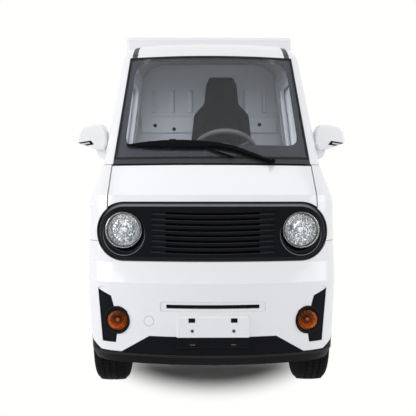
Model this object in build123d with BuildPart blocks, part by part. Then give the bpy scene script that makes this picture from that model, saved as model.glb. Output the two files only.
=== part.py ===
import os
from math import cos, radians, sin, sqrt

from build123d import *

os.makedirs("parts", exist_ok=True)

# Overall sizes of the truck. It faces -Y and stands on Z = 0.
LENGTH = 3500
FRONT_Y = -LENGTH / 2
REAR_Y = LENGTH / 2
CAB_DEPTH = 1450
BACK_Y = FRONT_Y + CAB_DEPTH
REACH = 4000

# Running fits and gaps
SEAT_GAP = 0.3
SHUT_GAP = 5
SEAM_WIDTH = 3
SEAM_DEPTH = 8

# Wheels and axles
TYRE_RADIUS = 275
TYRE_WIDTH = 180
RIM_RADIUS = 165
TRACK_HALF = 542
FRONT_AXLE_Y = FRONT_Y + 580
REAR_AXLE_Y = REAR_Y - 750
ARCH_RADIUS = TYRE_RADIUS + 60
KINGPIN_IN = 80
SPINDLE_RADIUS = 20

# Ladder frame
RAIL_INNER = 190
RAIL_WIDTH = 60
RAIL_BOTTOM = 430
RAIL_HEIGHT = 100
RAIL_TOP = RAIL_BOTTOM + RAIL_HEIGHT
RAIL_WALL = 8
WEB_HOLES = 11
SPRING_X = 220
SPRING_HALF = 380
SPRING_EYE_Z = 372

# Cab heights and wall thicknesses
SKIRT_BOTTOM = 205
SILL_BOTTOM = 330
FLOOR_BOTTOM = 590
FLOOR_TOP = 620
BELT_Z = 1200
GLASS_BOTTOM = 1226
ROOF_Z = 1820
ROOF_TOP = 1985
FASCIA_WALL = 22
SIDE_WALL = 60
DOOR_WALL = 50
ROOF_WALL = 40
BACK_WALL = 40
POST_FRONT = 430
CORNER_SPLIT_Z = 805
HOOD_HALF = 530
HOOD_TOP = 1190
FIREWALL_FRONT = 380
FIREWALL_BACK = 405

# Cross sections of the cab, from the skirt to the foot of the roof
CAB_SECTIONS = [
    # height, half width, set back, bow radius, corner radius
    (205, 604, 40, 1300, 205),
    (251, 624, 8, 1300, 225),
    (350, 632, 8, 1300, 230),
    (605, 644, 2, 1300, 230),
    (700, 645, 62, 1700, 215),
    (1000, 637, 78, 2000, 200),
    (1036, 631, 92, 2000, 190),
    (BELT_Z, 586, 250, 1500, 100),
    (ROOF_Z, 508, 560, 1500, 80),
]

# Cross sections of the roof cap
ROOF_SECTIONS = [
    # height, half width, set back, bow radius, corner radius
    (ROOF_Z, 508, 560, 1500, 80),
    (1880, 498, 655, 1500, 90),
    (1935, 466, 790, 1500, 100),
    (ROOF_TOP, 330, 1100, 1500, 100),
]

# Front lamps, grille, plate and wiper, seen from the front
GRILLE_HALF = 587
GRILLE_BOTTOM = 706
GRILLE_TOP = 997
GRILLE_RECESS = 8
GRILLE_WALL = 20
LAMP_X = 444.5
LAMP_Z = 860
LAMP_RADIUS = 92
SIGNAL_X = 471.5
SIGNAL_Z = 417
SIGNAL_RADIUS = 48.5
PLATE_HOLE_X = 100
PLATE_HOLE_Z = 379
PLATE_HOLE_RADIUS = 3.5
GLASS_BASE_HALF = 524
GLASS_TOP_HALF = 460

# Doors
DOOR_BOTTOM = 650
DOOR_TOP = 1790
DOOR_FRONT = 520
DOOR_BACK = 1335
DOOR_RAKE_TOP = 782
DOOR_AXIS_X = 648
DOOR_AXIS_BACK = 508
DOOR_HINGE_Z = (740, 960)
HINGE_RADIUS = 9
HINGE_PIN = 4
HINGE_LENGTH = 36

# Hood hinge
HOOD_AXIS_BACK = 254
HOOD_AXIS_Z = 1188
HOOD_LUG_X = 80

# Load box
BOX_FRONT_Y = FRONT_Y + 1500
BOX_REAR_Y = REAR_Y - 60
BOX_HALF = 578
BOX_BOTTOM = 610
BOX_FLOOR_TOP = 650
BOX_TOP = 2155
BOX_WALL = 30
BOX_ROUND = 25
BEARER_COUNT = 6
PORTAL_DEPTH = 60
PORTAL_SIDE = 48
PORTAL_Y = BOX_REAR_Y - PORTAL_DEPTH
DECK_GAP = 2
DECK_RISE = 6
REAR_DOOR_WALL = 30
REAR_DOOR_EDGE = 568
REAR_DOOR_BOTTOM = 645
REAR_DOOR_TOP = BOX_TOP - 15
REAR_AXIS_X = 598
REAR_AXIS_Y = BOX_REAR_Y + 22
REAR_HINGE_COUNT = 4
REAR_HINGE_FIRST = REAR_DOOR_BOTTOM + 115
REAR_HINGE_STEP = (REAR_DOOR_TOP - REAR_DOOR_BOTTOM - 235) / (REAR_HINGE_COUNT - 1)
REAR_HINGE_Z = [REAR_HINGE_FIRST + i * REAR_HINGE_STEP for i in range(REAR_HINGE_COUNT)]

# Driver's place
SEAT_X = 79
SEAT_LEAN = 7
WHEEL_X = 85
WHEEL_BACK = 830
WHEEL_Z = 1292
WHEEL_TILT = 40
WHEEL_RING = 185
WHEEL_GRIP = 15


def back(set_back):
    """Y of a point measured backwards from the front of the truck."""
    return FRONT_Y + set_back


def block(x0, x1, y0, y1, z0, z1, mode=Mode.ADD):
    """A box between two corners, in the part being built."""
    with Locations(((x0 + x1) / 2, (y0 + y1) / 2, (z0 + z1) / 2)):
        Box(abs(x1 - x0), abs(y1 - y0), abs(z1 - z0), mode=mode)


def rod(centre, direction, radius, length, mode=Mode.ADD):
    """A cylinder about a centre point, in the part being built."""
    with Locations(Plane(origin=centre, z_dir=direction)):
        Cylinder(radius, length, mode=mode)


def cab_outline(height, half_width, set_back, bow_radius, corner_radius, inset):
    """A plan outline with a bowed nose, round corners and straight sides."""
    side = half_width - inset
    corner = max(corner_radius - inset, 6)
    bow = bow_radius - inset
    bow_y = back(set_back) + bow_radius
    corner_y = bow_y - sqrt((bow - corner) ** 2 - (side - corner) ** 2)
    reach = bow / (bow - corner)
    nose_x = (side - corner) * reach
    nose_y = bow_y - (bow_y - corner_y) * reach
    with BuildSketch(Plane.XY.offset(height)) as outline:
        with BuildLine():
            Line((side, BACK_Y), (side, corner_y))
            TangentArc((side, corner_y), (nose_x, nose_y), tangent=(0, -1))
            ThreePointArc((nose_x, nose_y), (0, bow_y - bow), (-nose_x, nose_y))
            TangentArc((-side, corner_y), (-nose_x, nose_y), tangent=(0, -1))
            Line((-side, corner_y), (-side, BACK_Y))
            Line((-side, BACK_Y), (side, BACK_Y))
        make_face()
    return outline.sketch


def cab_solid(inset):
    """The cab's outer form below the roof, drawn in by an even inset."""
    with BuildPart() as solid:
        for height, half_width, set_back, bow_radius, corner_radius in CAB_SECTIONS:
            add(cab_outline(height, half_width, set_back, bow_radius, corner_radius, inset))
        loft(ruled=True)
    return solid.part


def front_prism(points, front=-200, depth=REACH):
    """A prism along Y from an outline seen from the front."""
    with BuildPart() as prism:
        with BuildSketch(Plane.XZ.offset(-back(front))):
            with BuildLine():
                Polyline(*points, close=True)
            make_face()
        extrude(amount=-depth)
    return prism.part


def stadium_prism(grow):
    """The grille opening, grown by an even margin, as a prism along Y."""
    height = GRILLE_TOP - GRILLE_BOTTOM + 2 * grow
    width = 2 * (GRILLE_HALF + grow)
    with BuildPart() as prism:
        with BuildSketch(Plane.XZ.offset(-back(-50))):
            with Locations((0, (GRILLE_TOP + GRILLE_BOTTOM) / 2)):
                SlotOverall(width, height)
        extrude(amount=-380)
    return prism.part


def door_prism(grow):
    """The door outline seen from the side, grown by an even margin."""
    with BuildPart() as prism:
        with BuildSketch(Plane.YZ):
            with BuildLine():
                Polyline(
                    (back(DOOR_FRONT), DOOR_BOTTOM),
                    (back(DOOR_FRONT), BELT_Z),
                    (back(DOOR_RAKE_TOP), DOOR_TOP),
                    (back(DOOR_BACK), DOOR_TOP),
                    (back(DOOR_BACK), DOOR_BOTTOM),
                    close=True,
                )
            make_face()
            fillet(vertices(), radius=45)
            if grow:
                offset(amount=grow, kind=Kind.ARC)
        extrude(amount=REACH / 4, both=True)
    return prism.part


def window_prism(shrink):
    """The door's window opening seen from the side."""
    with BuildPart() as prism:
        with BuildSketch(Plane.YZ):
            with BuildLine():
                Polyline(
                    (back(DOOR_FRONT + 72), BELT_Z + 35),
                    (back(DOOR_RAKE_TOP + 35), DOOR_TOP - 52),
                    (back(DOOR_BACK - 60), DOOR_TOP - 52),
                    (back(DOOR_BACK - 60), BELT_Z + 35),
                    close=True,
                )
            make_face()
            fillet(vertices(), radius=40)
            if shrink:
                offset(amount=-shrink, kind=Kind.ARC)
        extrude(amount=REACH / 4, both=True)
    return prism.part


def save(builder, name):
    """Label a finished piece and write its file."""
    builder.part.label = name
    export_step(builder.part, "parts/" + name + ".step")


cab_skin = cab_solid(0)
cab_fascia_inner = cab_solid(FASCIA_WALL)
cab_side_inner = cab_solid(SIDE_WALL)
cab_door_inner = cab_solid(DOOR_WALL)
glass_wedge = front_prism(
    [
        (-GLASS_BASE_HALF, BELT_Z),
        (GLASS_BASE_HALF, BELT_Z),
        (GLASS_TOP_HALF, ROOF_Z),
        (-GLASS_TOP_HALF, ROOF_Z),
    ],
    depth=1200,
)
skirt_line = [
    (-800, 346),
    (-627, 346),
    (-612, 299),
    (-557, 265),
    (-450, 264),
    (-310, 348),
    (310, 348),
    (450, 264),
    (557, 265),
    (612, 299),
    (627, 346),
    (800, 346),
]
below_skirt_line = front_prism(skirt_line + [(800, 100), (-800, 100)])
grille_opening = stadium_prism(0)
seam_core = cab_solid(SEAM_DEPTH)
with BuildPart() as panel_seams:
    block(-800, 800, back(-50), back(POST_FRONT), CORNER_SPLIT_Z - SEAM_WIDTH, CORNER_SPLIT_Z)
    block(-800, 800, back(POST_FRONT - SEAM_WIDTH), back(POST_FRONT), SKIRT_BOTTOM, BELT_Z)
    block(-800, 800, back(-50), back(POST_FRONT), BELT_Z - SEAM_WIDTH, BELT_Z)
    add(seam_core, mode=Mode.SUBTRACT)

# Ladder frame: two channel rails with web holes, cross members, spring hangers and cab mounts
with BuildPart() as chassis_frame:
    for side in (-1, 1):
        rail_x = side * RAIL_INNER
        rail_out = side * (RAIL_INNER + RAIL_WIDTH)
        block(rail_x, rail_out, back(165), BOX_REAR_Y, RAIL_BOTTOM, RAIL_TOP)
        block(
            side * (RAIL_INNER + RAIL_WALL),
            rail_out,
            back(150),
            BOX_REAR_Y + 10,
            RAIL_BOTTOM + RAIL_WALL,
            RAIL_TOP - RAIL_WALL,
            mode=Mode.SUBTRACT,
        )
        for axle_y in (FRONT_AXLE_Y, REAR_AXLE_Y):
            for end in (-1, 1):
                hang_y = axle_y + end * SPRING_HALF
                hang_z = SPRING_EYE_Z + 18 + SEAT_GAP
                block(rail_x, rail_out, hang_y - 25, hang_y + 25, hang_z, RAIL_BOTTOM + 10)
        for mount_y in (back(520), back(1380)):
            mount_z = (RAIL_TOP + FLOOR_BOTTOM) / 2
            rod((side * SPRING_X, mount_y, mount_z), (0, 0, 1), 30, FLOOR_BOTTOM - RAIL_TOP)
        for hole in range(WEB_HOLES):
            hole_y = back(400) + hole * (BOX_REAR_Y - back(400) - 140) / (WEB_HOLES - 1)
            hole_x = side * (RAIL_INNER + RAIL_WALL / 2)
            hole_z = (RAIL_BOTTOM + RAIL_TOP) / 2
            rod((hole_x, hole_y, hole_z), (1, 0, 0), 20, RAIL_WALL + 2, mode=Mode.SUBTRACT)
    for cross_y in (back(280), back(860), REAR_AXLE_Y - 390, REAR_AXLE_Y + 350, BOX_REAR_Y - 30):
        cross_x = RAIL_INNER + RAIL_WALL / 2
        block(-cross_x, cross_x, cross_y - 30, cross_y + 30, RAIL_BOTTOM + 20, RAIL_TOP - 10)
save(chassis_frame, "chassis_frame")

# Battery: one sealed case slung between the rails
BATTERY_BOTTOM = 260
BATTERY_TOP = 500
with BuildPart() as battery_pack:
    block(-RAIL_INNER, RAIL_INNER, back(920), REAR_AXLE_Y - 440, BATTERY_BOTTOM, BATTERY_TOP)
    fillet(edges().filter_by(Axis.Z), radius=25)
    chamfer(faces().sort_by(Axis.Z)[0].edges(), length=10)
save(battery_pack, "battery_pack")

# Front axle: a dropped beam with an upright eye at each end and two spring pads
AXLE_EYE_X = TRACK_HALF - KINGPIN_IN
AXLE_DROP = 28
KINGPIN_RADIUS = 12
beam_top = [(AXLE_EYE_X, 20), (AXLE_EYE_X - 92, 20), (AXLE_EYE_X - 150, 20 - AXLE_DROP)]
beam_low = [(AXLE_EYE_X - 150, -20 - AXLE_DROP), (AXLE_EYE_X - 92, -20), (AXLE_EYE_X, -20)]
with BuildPart() as front_axle:
    with BuildSketch(Plane.XZ.offset(-FRONT_AXLE_Y)):
        with BuildLine():
            Polyline(
                *[(x, TYRE_RADIUS + z) for x, z in reversed(beam_low)],
                *[(-x, TYRE_RADIUS + z) for x, z in beam_low],
                *[(-x, TYRE_RADIUS + z) for x, z in beam_top],
                *[(x, TYRE_RADIUS + z) for x, z in reversed(beam_top)],
                close=True,
            )
        make_face()
    extrude(amount=22, both=True)
    for side in (-1, 1):
        rod((side * AXLE_EYE_X, FRONT_AXLE_Y, TYRE_RADIUS), (0, 0, 1), 26, 44)
        block(
            side * (SPRING_X - 25),
            side * (SPRING_X + 25),
            FRONT_AXLE_Y - 45,
            FRONT_AXLE_Y + 45,
            TYRE_RADIUS - AXLE_DROP,
            TYRE_RADIUS + 30,
        )
    for side in (-1, 1):
        rod(
            (side * AXLE_EYE_X, FRONT_AXLE_Y, TYRE_RADIUS),
            (0, 0, 1),
            KINGPIN_RADIUS + SEAT_GAP,
            80,
            mode=Mode.SUBTRACT,
        )
save(front_axle, "front_axle")

# Rear axle: a tube with stub ends, a gear case and two spring pads
with BuildPart() as rear_axle:
    rod((0, REAR_AXLE_Y, TYRE_RADIUS), (1, 0, 0), 38, 2 * (TRACK_HALF - 60))
    rod((0, REAR_AXLE_Y, TYRE_RADIUS), (1, 0, 0), SPINDLE_RADIUS, 2 * (TRACK_HALF + 30))
    rod((60, REAR_AXLE_Y, TYRE_RADIUS), (1, 0, 0), 105, 110)
    for side in (-1, 1):
        block(
            side * (SPRING_X - 25),
            side * (SPRING_X + 25),
            REAR_AXLE_Y - 45,
            REAR_AXLE_Y + 45,
            TYRE_RADIUS,
            TYRE_RADIUS + 45,
        )
save(rear_axle, "rear_axle")

# Drive motor: a round case flanged to the gear case on the rear axle
with BuildPart() as drive_motor:
    rod((-70, REAR_AXLE_Y - 165, TYRE_RADIUS + 20), (1, 0, 0), 95, 200)
    block(5, 30, REAR_AXLE_Y - 200, REAR_AXLE_Y - 70, TYRE_RADIUS - 40, TYRE_RADIUS + 60)
    block(5, 115, REAR_AXLE_Y - 200, REAR_AXLE_Y - 90, TYRE_RADIUS - 40, TYRE_RADIUS + 50)
    rod((60, REAR_AXLE_Y, TYRE_RADIUS), (1, 0, 0), 105 + SEAT_GAP, 400, mode=Mode.SUBTRACT)
save(drive_motor, "drive_motor")

# Leaf springs: one cambered pack at each wheel, with a rolled eye at each end
LEAF_WIDTH = 50
LEAF_THICK = 22
with BuildPart() as leaf_springs:
    for axle_y, pad_z in ((FRONT_AXLE_Y, TYRE_RADIUS + 30), (REAR_AXLE_Y, TYRE_RADIUS + 45)):
        for side in (-1, 1):
            with BuildSketch(Plane.YZ.offset(side * SPRING_X)):
                with BuildLine():
                    Line((axle_y - 50, pad_z), (axle_y + 50, pad_z))
                    Line((axle_y + 50, pad_z), (axle_y + SPRING_HALF, SPRING_EYE_Z - 18))
                    Line((axle_y + SPRING_HALF, SPRING_EYE_Z - 18), (axle_y + SPRING_HALF, SPRING_EYE_Z - 4))
                    Line((axle_y + SPRING_HALF, SPRING_EYE_Z - 4), (axle_y + 50, pad_z + LEAF_THICK))
                    Line((axle_y + 50, pad_z + LEAF_THICK), (axle_y - 50, pad_z + LEAF_THICK))
                    Line((axle_y - 50, pad_z + LEAF_THICK), (axle_y - SPRING_HALF, SPRING_EYE_Z - 4))
                    Line((axle_y - SPRING_HALF, SPRING_EYE_Z - 4), (axle_y - SPRING_HALF, SPRING_EYE_Z - 18))
                    Line((axle_y - SPRING_HALF, SPRING_EYE_Z - 18), (axle_y - 50, pad_z))
                make_face()
            extrude(amount=LEAF_WIDTH / 2, both=True)
            for end in (-1, 1):
                rod((side * SPRING_X, axle_y + end * SPRING_HALF, SPRING_EYE_Z), (1, 0, 0), 18, LEAF_WIDTH)
save(leaf_springs, "leaf_springs")

# Cab floor: a flat pan over the wheels with the upright front bulkhead
with BuildPart() as cab_floor:
    add(cab_side_inner)
    floor_back_y = BACK_Y - BACK_WALL
    block(-700, 700, back(FIREWALL_FRONT), floor_back_y, FLOOR_BOTTOM, BELT_Z, mode=Mode.INTERSECT)
    block(-700, 700, back(FIREWALL_BACK), BACK_Y, FLOOR_TOP, BELT_Z + 1, mode=Mode.SUBTRACT)
save(cab_floor, "cab_floor")

# Side frames: sill, wheel arch, windscreen pillar and rear pillar of each side
with BuildPart() as cab_side_frames:
    add(cab_skin)
    add(cab_side_inner, mode=Mode.SUBTRACT)
    add(glass_wedge, mode=Mode.SUBTRACT)
    block(-800, 800, back(-100), back(POST_FRONT), 0, BELT_Z, mode=Mode.SUBTRACT)
    block(-800, 800, back(CAB_DEPTH - BACK_WALL), back(CAB_DEPTH + 100), 0, 2200, mode=Mode.SUBTRACT)
    block(-800, 800, back(-100), back(CAB_DEPTH + 100), 0, SILL_BOTTOM, mode=Mode.SUBTRACT)
    rod((0, FRONT_AXLE_Y, TYRE_RADIUS), (1, 0, 0), ARCH_RADIUS, 1600, mode=Mode.SUBTRACT)
    add(door_prism(SHUT_GAP), mode=Mode.SUBTRACT)
    for side in (-1, 1):
        for hinge_z in DOOR_HINGE_Z:
            block(
                side * (DOOR_AXIS_X - 24),
                side * (DOOR_AXIS_X + 30),
                back(DOOR_AXIS_BACK - 14),
                back(DOOR_FRONT),
                hinge_z - HINGE_LENGTH - 3,
                hinge_z + HINGE_LENGTH + 3,
                mode=Mode.SUBTRACT,
            )
            low_z = hinge_z - HINGE_LENGTH / 2
            hinge_x = side * DOOR_AXIS_X
            rod((hinge_x, back(DOOR_AXIS_BACK), low_z), (0, 0, 1), HINGE_RADIUS, HINGE_LENGTH - 1)
            rod((hinge_x, back(DOOR_AXIS_BACK), hinge_z), (0, 0, 1), HINGE_PIN, 2 * HINGE_LENGTH - 6)
            block(
                side * (DOOR_AXIS_X - 30),
                side * DOOR_AXIS_X,
                back(DOOR_AXIS_BACK - 20),
                back(DOOR_AXIS_BACK),
                low_z - HINGE_LENGTH / 2 + 1,
                low_z + HINGE_LENGTH / 2 - 1,
            )
save(cab_side_frames, "cab_side_frames")

# Doors: a windowed leaf with hinge barrels on its front edge and a grip over a pocket
HANDLE_BACK = 1235
HANDLE_Z = 955
HANDLE_LENGTH = 150
HANDLE_HEIGHT = 56
pocket_core = cab_solid(16)
grip_core = cab_solid(8)
with BuildPart() as handle_pockets:
    with BuildSketch(Plane.YZ):
        with Locations((back(HANDLE_BACK), HANDLE_Z)):
            SlotOverall(HANDLE_LENGTH, HANDLE_HEIGHT)
    extrude(amount=REACH / 4, both=True)
    add(pocket_core, mode=Mode.SUBTRACT)
with BuildPart() as handle_grips:
    with BuildSketch(Plane.YZ):
        with Locations((back(HANDLE_BACK), HANDLE_Z + 6)):
            RectangleRounded(HANDLE_LENGTH + 16, 22, 8)
    extrude(amount=REACH / 4, both=True)
    add(cab_skin, mode=Mode.INTERSECT)
    add(grip_core, mode=Mode.SUBTRACT)
glass_outer = cab_solid(16)
glass_inner = cab_solid(21)
MIRROR_FRONT = 514
MIRROR_DEPTH = 90
MIRROR_FOOT = 560
mirror_outline = [
    (717, 1419),
    (650, 1431),
    (602, 1431),
    (582, 1395),
    (579, 1323),
    (598, 1289),
    (636, 1291),
    (737, 1323),
    (748, 1342),
    (741, 1385),
]
mirror_arm = [(588, 1300), (650, 1300), (632, 1256), (572, 1218), (556, 1224), (556, 1256)]
for side, name in ((1, "left"), (-1, "right")):
    with BuildPart() as door:
        add(cab_skin)
        add(cab_door_inner, mode=Mode.SUBTRACT)
        add(door_prism(0), mode=Mode.INTERSECT)
        add(window_prism(0), mode=Mode.SUBTRACT)
        add(handle_pockets.part, mode=Mode.SUBTRACT)
        add(handle_grips.part)
        block(0, side * 1000, back(0), back(CAB_DEPTH), 0, 2200, mode=Mode.INTERSECT)
        for hinge_z in DOOR_HINGE_Z:
            high_z = hinge_z + HINGE_LENGTH / 2
            hinge_x = side * DOOR_AXIS_X
            rod((hinge_x, back(DOOR_AXIS_BACK), high_z), (0, 0, 1), HINGE_RADIUS, HINGE_LENGTH - 1)
            block(
                side * (DOOR_AXIS_X - 22),
                side * DOOR_AXIS_X,
                back(DOOR_AXIS_BACK),
                back(DOOR_FRONT + 10),
                high_z - HINGE_LENGTH / 2 + 1,
                high_z + HINGE_LENGTH / 2 - 1,
            )
            rod(
                (hinge_x, back(DOOR_AXIS_BACK), high_z),
                (0, 0, 1),
                HINGE_PIN + SEAT_GAP,
                HINGE_LENGTH + 4,
                mode=Mode.SUBTRACT,
            )
    save(door, "door_" + name)

    with BuildPart() as door_glass:
        add(glass_outer)
        add(glass_inner, mode=Mode.SUBTRACT)
        add(window_prism(SEAT_GAP), mode=Mode.INTERSECT)
        block(0, side * 1000, back(0), back(CAB_DEPTH), 0, 2200, mode=Mode.INTERSECT)
    save(door_glass, "door_glass_" + name)

    with BuildPart() as mirror:
        with BuildSketch(Plane.XZ.offset(-back(MIRROR_FRONT))):
            with BuildLine():
                Polyline(*[(side * x, z) for x, z in mirror_outline], close=True)
            make_face()
            fillet(vertices(), radius=9)
        extrude(amount=-MIRROR_DEPTH)
        fillet(faces().sort_by(Axis.Y)[0].edges(), radius=14)
        with BuildSketch(Plane.XZ.offset(-back(MIRROR_FOOT))):
            with BuildLine():
                Polyline(*[(side * x, z) for x, z in mirror_arm], close=True)
            make_face()
        extrude(amount=-36)
        add(cab_skin, mode=Mode.SUBTRACT)
    save(mirror, "mirror_" + name)

# Windscreen and the black strip at its foot, with the lugs of the hood hinge
glass_inside = cab_solid(6)
with BuildPart() as windscreen:
    add(cab_skin)
    add(glass_inside, mode=Mode.SUBTRACT)
    add(glass_wedge, mode=Mode.INTERSECT)
    block(-700, 700, back(0), back(900), GLASS_BOTTOM, ROOF_Z, mode=Mode.INTERSECT)
save(windscreen, "windscreen")

with BuildPart() as cowl_strip:
    add(cab_skin)
    add(glass_wedge, mode=Mode.INTERSECT)
    block(-700, 700, back(0), back(FIREWALL_BACK), BELT_Z, GLASS_BOTTOM, mode=Mode.INTERSECT)
    for side in (-1, 1):
        block(
            side * (HOOD_LUG_X - 4),
            side * (HOOD_LUG_X + 4),
            back(HOOD_AXIS_BACK + 1),
            back(HOOD_AXIS_BACK + 12),
            HOOD_AXIS_Z,
            BELT_Z,
        )
        rod((side * HOOD_LUG_X, back(HOOD_AXIS_BACK), HOOD_AXIS_Z), (1, 0, 0), 6, 8)
        rod((side * HOOD_LUG_X, back(HOOD_AXIS_BACK), HOOD_AXIS_Z), (1, 0, 0), 3.7, 56)
save(cowl_strip, "cowl_strip")

# Hood: the service lid between the windscreen and the grille
hood_notch_skin = cab_solid(5)
with BuildPart() as hood_notches:
    for side in (-1, 1):
        block(
            side * (HOOD_LUG_X - 9),
            side * (HOOD_LUG_X + 9),
            back(200),
            back(290),
            HOOD_AXIS_Z - 14,
            BELT_Z,
        )
    add(hood_notch_skin, mode=Mode.INTERSECT)
hood_clear = stadium_prism(SHUT_GAP)
with BuildPart() as hood:
    add(cab_skin)
    add(cab_fascia_inner, mode=Mode.SUBTRACT)
    block(
        -HOOD_HALF + SHUT_GAP,
        HOOD_HALF - SHUT_GAP,
        back(-50),
        back(POST_FRONT),
        (GRILLE_TOP + GRILLE_BOTTOM) / 2 + 40,
        HOOD_TOP,
        mode=Mode.INTERSECT,
    )
    add(hood_clear, mode=Mode.SUBTRACT)
    add(hood_notches.part, mode=Mode.SUBTRACT)
    for side in (-1, 1):
        rod((side * HOOD_LUG_X, back(HOOD_AXIS_BACK), HOOD_AXIS_Z), (1, 0, 0), 4, 58, mode=Mode.SUBTRACT)
save(hood, "hood")

# Corner panels: the painted quarter on each side of the hood
with BuildPart() as corner_panels:
    add(cab_skin)
    add(cab_fascia_inner, mode=Mode.SUBTRACT)
    block(-800, 800, back(-50), back(POST_FRONT), CORNER_SPLIT_Z, BELT_Z, mode=Mode.INTERSECT)
    block(-HOOD_HALF, HOOD_HALF, back(-50), back(POST_FRONT), CORNER_SPLIT_Z, BELT_Z, mode=Mode.SUBTRACT)
    add(grille_opening, mode=Mode.SUBTRACT)
    add(panel_seams.part, mode=Mode.SUBTRACT)
save(corner_panels, "corner_panels")

# Bumper: the painted lower front with the number-plate plinth
SIGNAL_RING = 60
signal_outline = [(-574, 567), (-504, 536), (-487, 478), (-473, 345), (-479, 306), (-550, 306)]
signal_prisms = []
for side in (-1, 1):
    with BuildPart() as signal_prism:
        with BuildSketch(Plane.XZ.offset(-back(-200))):
            with BuildLine():
                Polyline(*[(-side * x, z) for x, z in signal_outline], close=True)
            make_face()
            with Locations((side * SIGNAL_X, SIGNAL_Z)):
                Circle(SIGNAL_RING)
        extrude(amount=-900)
    signal_prisms.append(signal_prism.part)
INTAKE_HALF = 226
INTAKE_BOTTOM = 484
INTAKE_TOP = 503
TOW_X = -311
TOW_Z = 421
TOW_RADIUS = 25
recess_core = cab_solid(4)
groove_core = cab_solid(3)
PLINTH_HALF = 175
PLINTH_BOTTOM = 295
PLINTH_TOP = 449
PLINTH_SPLIT_Z = 348
with BuildPart() as plinth_form:
    block(-PLINTH_HALF, PLINTH_HALF, back(0), back(34), PLINTH_BOTTOM, PLINTH_TOP)
    chamfer(faces().sort_by(Axis.Y)[0].edges(), length=5)
with BuildPart() as plate_plinth:
    add(plinth_form.part)
    block(-400, 400, back(-50), back(100), PLINTH_SPLIT_Z, 600, mode=Mode.INTERSECT)
signal_recess = [(-574, 570), (-553, 582), (-477, 545), (-448, 484), (-418, 463), (-430, 430), (-520, 440)]
with BuildPart() as bumper_recesses:
    for side in (-1, 1):
        with BuildSketch(Plane.XZ.offset(-back(-50))):
            with BuildLine():
                Polyline(*[(-side * x, z) for x, z in signal_recess], close=True)
            make_face()
        extrude(amount=-400)
    with BuildSketch(Plane.XZ.offset(-back(-50))):
        with Locations((0, (INTAKE_BOTTOM + INTAKE_TOP) / 2)):
            RectangleRounded(2 * INTAKE_HALF + 60, INTAKE_TOP - INTAKE_BOTTOM + 28, 10)
    extrude(amount=-200)
    add(recess_core, mode=Mode.SUBTRACT)
with BuildPart() as tow_groove:
    with BuildSketch(Plane.XZ.offset(-back(-50))):
        with Locations((TOW_X, TOW_Z)):
            Circle(TOW_RADIUS)
            Circle(TOW_RADIUS - 2, mode=Mode.SUBTRACT)
    extrude(amount=-200)
    add(groove_core, mode=Mode.SUBTRACT)
with BuildPart() as front_bumper:
    add(cab_skin)
    add(cab_fascia_inner, mode=Mode.SUBTRACT)
    block(-800, 800, back(-50), back(POST_FRONT), 0, CORNER_SPLIT_Z, mode=Mode.INTERSECT)
    add(below_skirt_line, mode=Mode.SUBTRACT)
    add(grille_opening, mode=Mode.SUBTRACT)
    rod((0, FRONT_AXLE_Y, TYRE_RADIUS), (1, 0, 0), ARCH_RADIUS, 1600, mode=Mode.SUBTRACT)
    add(plate_plinth.part)
    for prism in signal_prisms:
        add(prism, mode=Mode.SUBTRACT)
    add(bumper_recesses.part, mode=Mode.SUBTRACT)
    add(tow_groove.part, mode=Mode.SUBTRACT)
    add(panel_seams.part, mode=Mode.SUBTRACT)
    block(-INTAKE_HALF, INTAKE_HALF, back(-50), back(100), INTAKE_BOTTOM, INTAKE_TOP, mode=Mode.SUBTRACT)
    for side in (-1, 1):
        block(side * 87, side * 117, back(-50), back(100), 420, 440, mode=Mode.SUBTRACT)
        plate_hole = (side * PLATE_HOLE_X, back(0), PLATE_HOLE_Z)
        rod(plate_hole, (0, 1, 0), PLATE_HOLE_RADIUS, 120, mode=Mode.SUBTRACT)
save(front_bumper, "front_bumper")

# Skirt: the black lower lip of the bumper
with BuildPart() as skirt_plinth:
    add(plinth_form.part)
    block(-400, 400, back(-50), back(100), 200, PLINTH_SPLIT_Z, mode=Mode.INTERSECT)
with BuildPart() as bumper_skirt:
    add(cab_skin)
    add(cab_fascia_inner, mode=Mode.SUBTRACT)
    block(-800, 800, back(-50), back(POST_FRONT), 0, CORNER_SPLIT_Z, mode=Mode.INTERSECT)
    add(below_skirt_line, mode=Mode.INTERSECT)
    rod((0, FRONT_AXLE_Y, TYRE_RADIUS), (1, 0, 0), ARCH_RADIUS, 1600, mode=Mode.SUBTRACT)
    add(skirt_plinth.part)
    for prism in signal_prisms:
        add(prism, mode=Mode.SUBTRACT)
    for side in (-1, 1):
        block(side * 88, side * 112, back(-50), back(100), 304, 314, mode=Mode.SUBTRACT)
save(bumper_skirt, "bumper_skirt")

# Grille: a black panel with a bevelled edge, tilted slats and a funnel round each headlamp
GRILLE_REVEAL = 6
GRILLE_EDGE = 13
GRILLE_FLANGE = 20
SLOT_COUNT = 8
SLOT_PITCH = 26.7
SLOT_TOP_Z = 945
SLOT_HEIGHT = 11
SLOT_TILT = 18
SLOT_HALF = 233
GROOVE_HALF = 303
GROOVE_DEPTH = 7
FUNNEL_WALL = 14
FUNNEL_DROP = 12
FUNNEL_DEPTH = 190
grille_face = cab_solid(GRILLE_RECESS)
grille_inner = cab_solid(GRILLE_RECESS + GRILLE_WALL)
grille_flange = cab_solid(GRILLE_FLANGE)
groove_floor = cab_solid(GRILLE_RECESS + GROOVE_DEPTH)
grille_plug = stadium_prism(-SEAT_GAP)


def slat_gaps(half_length):
    """The tilted gaps between the slats, as one part."""
    with BuildPart() as gaps:
        for row in range(SLOT_COUNT):
            slot_z = SLOT_TOP_Z - row * SLOT_PITCH
            with Locations(Location((0, back(100), slot_z), (SLOT_TILT, 0, 0))):
                Box(2 * half_length, 260, SLOT_HEIGHT)
    return gaps.part


with BuildPart() as slat_grooves:
    add(slat_gaps(GROOVE_HALF))
    add(groove_floor, mode=Mode.SUBTRACT)

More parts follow.
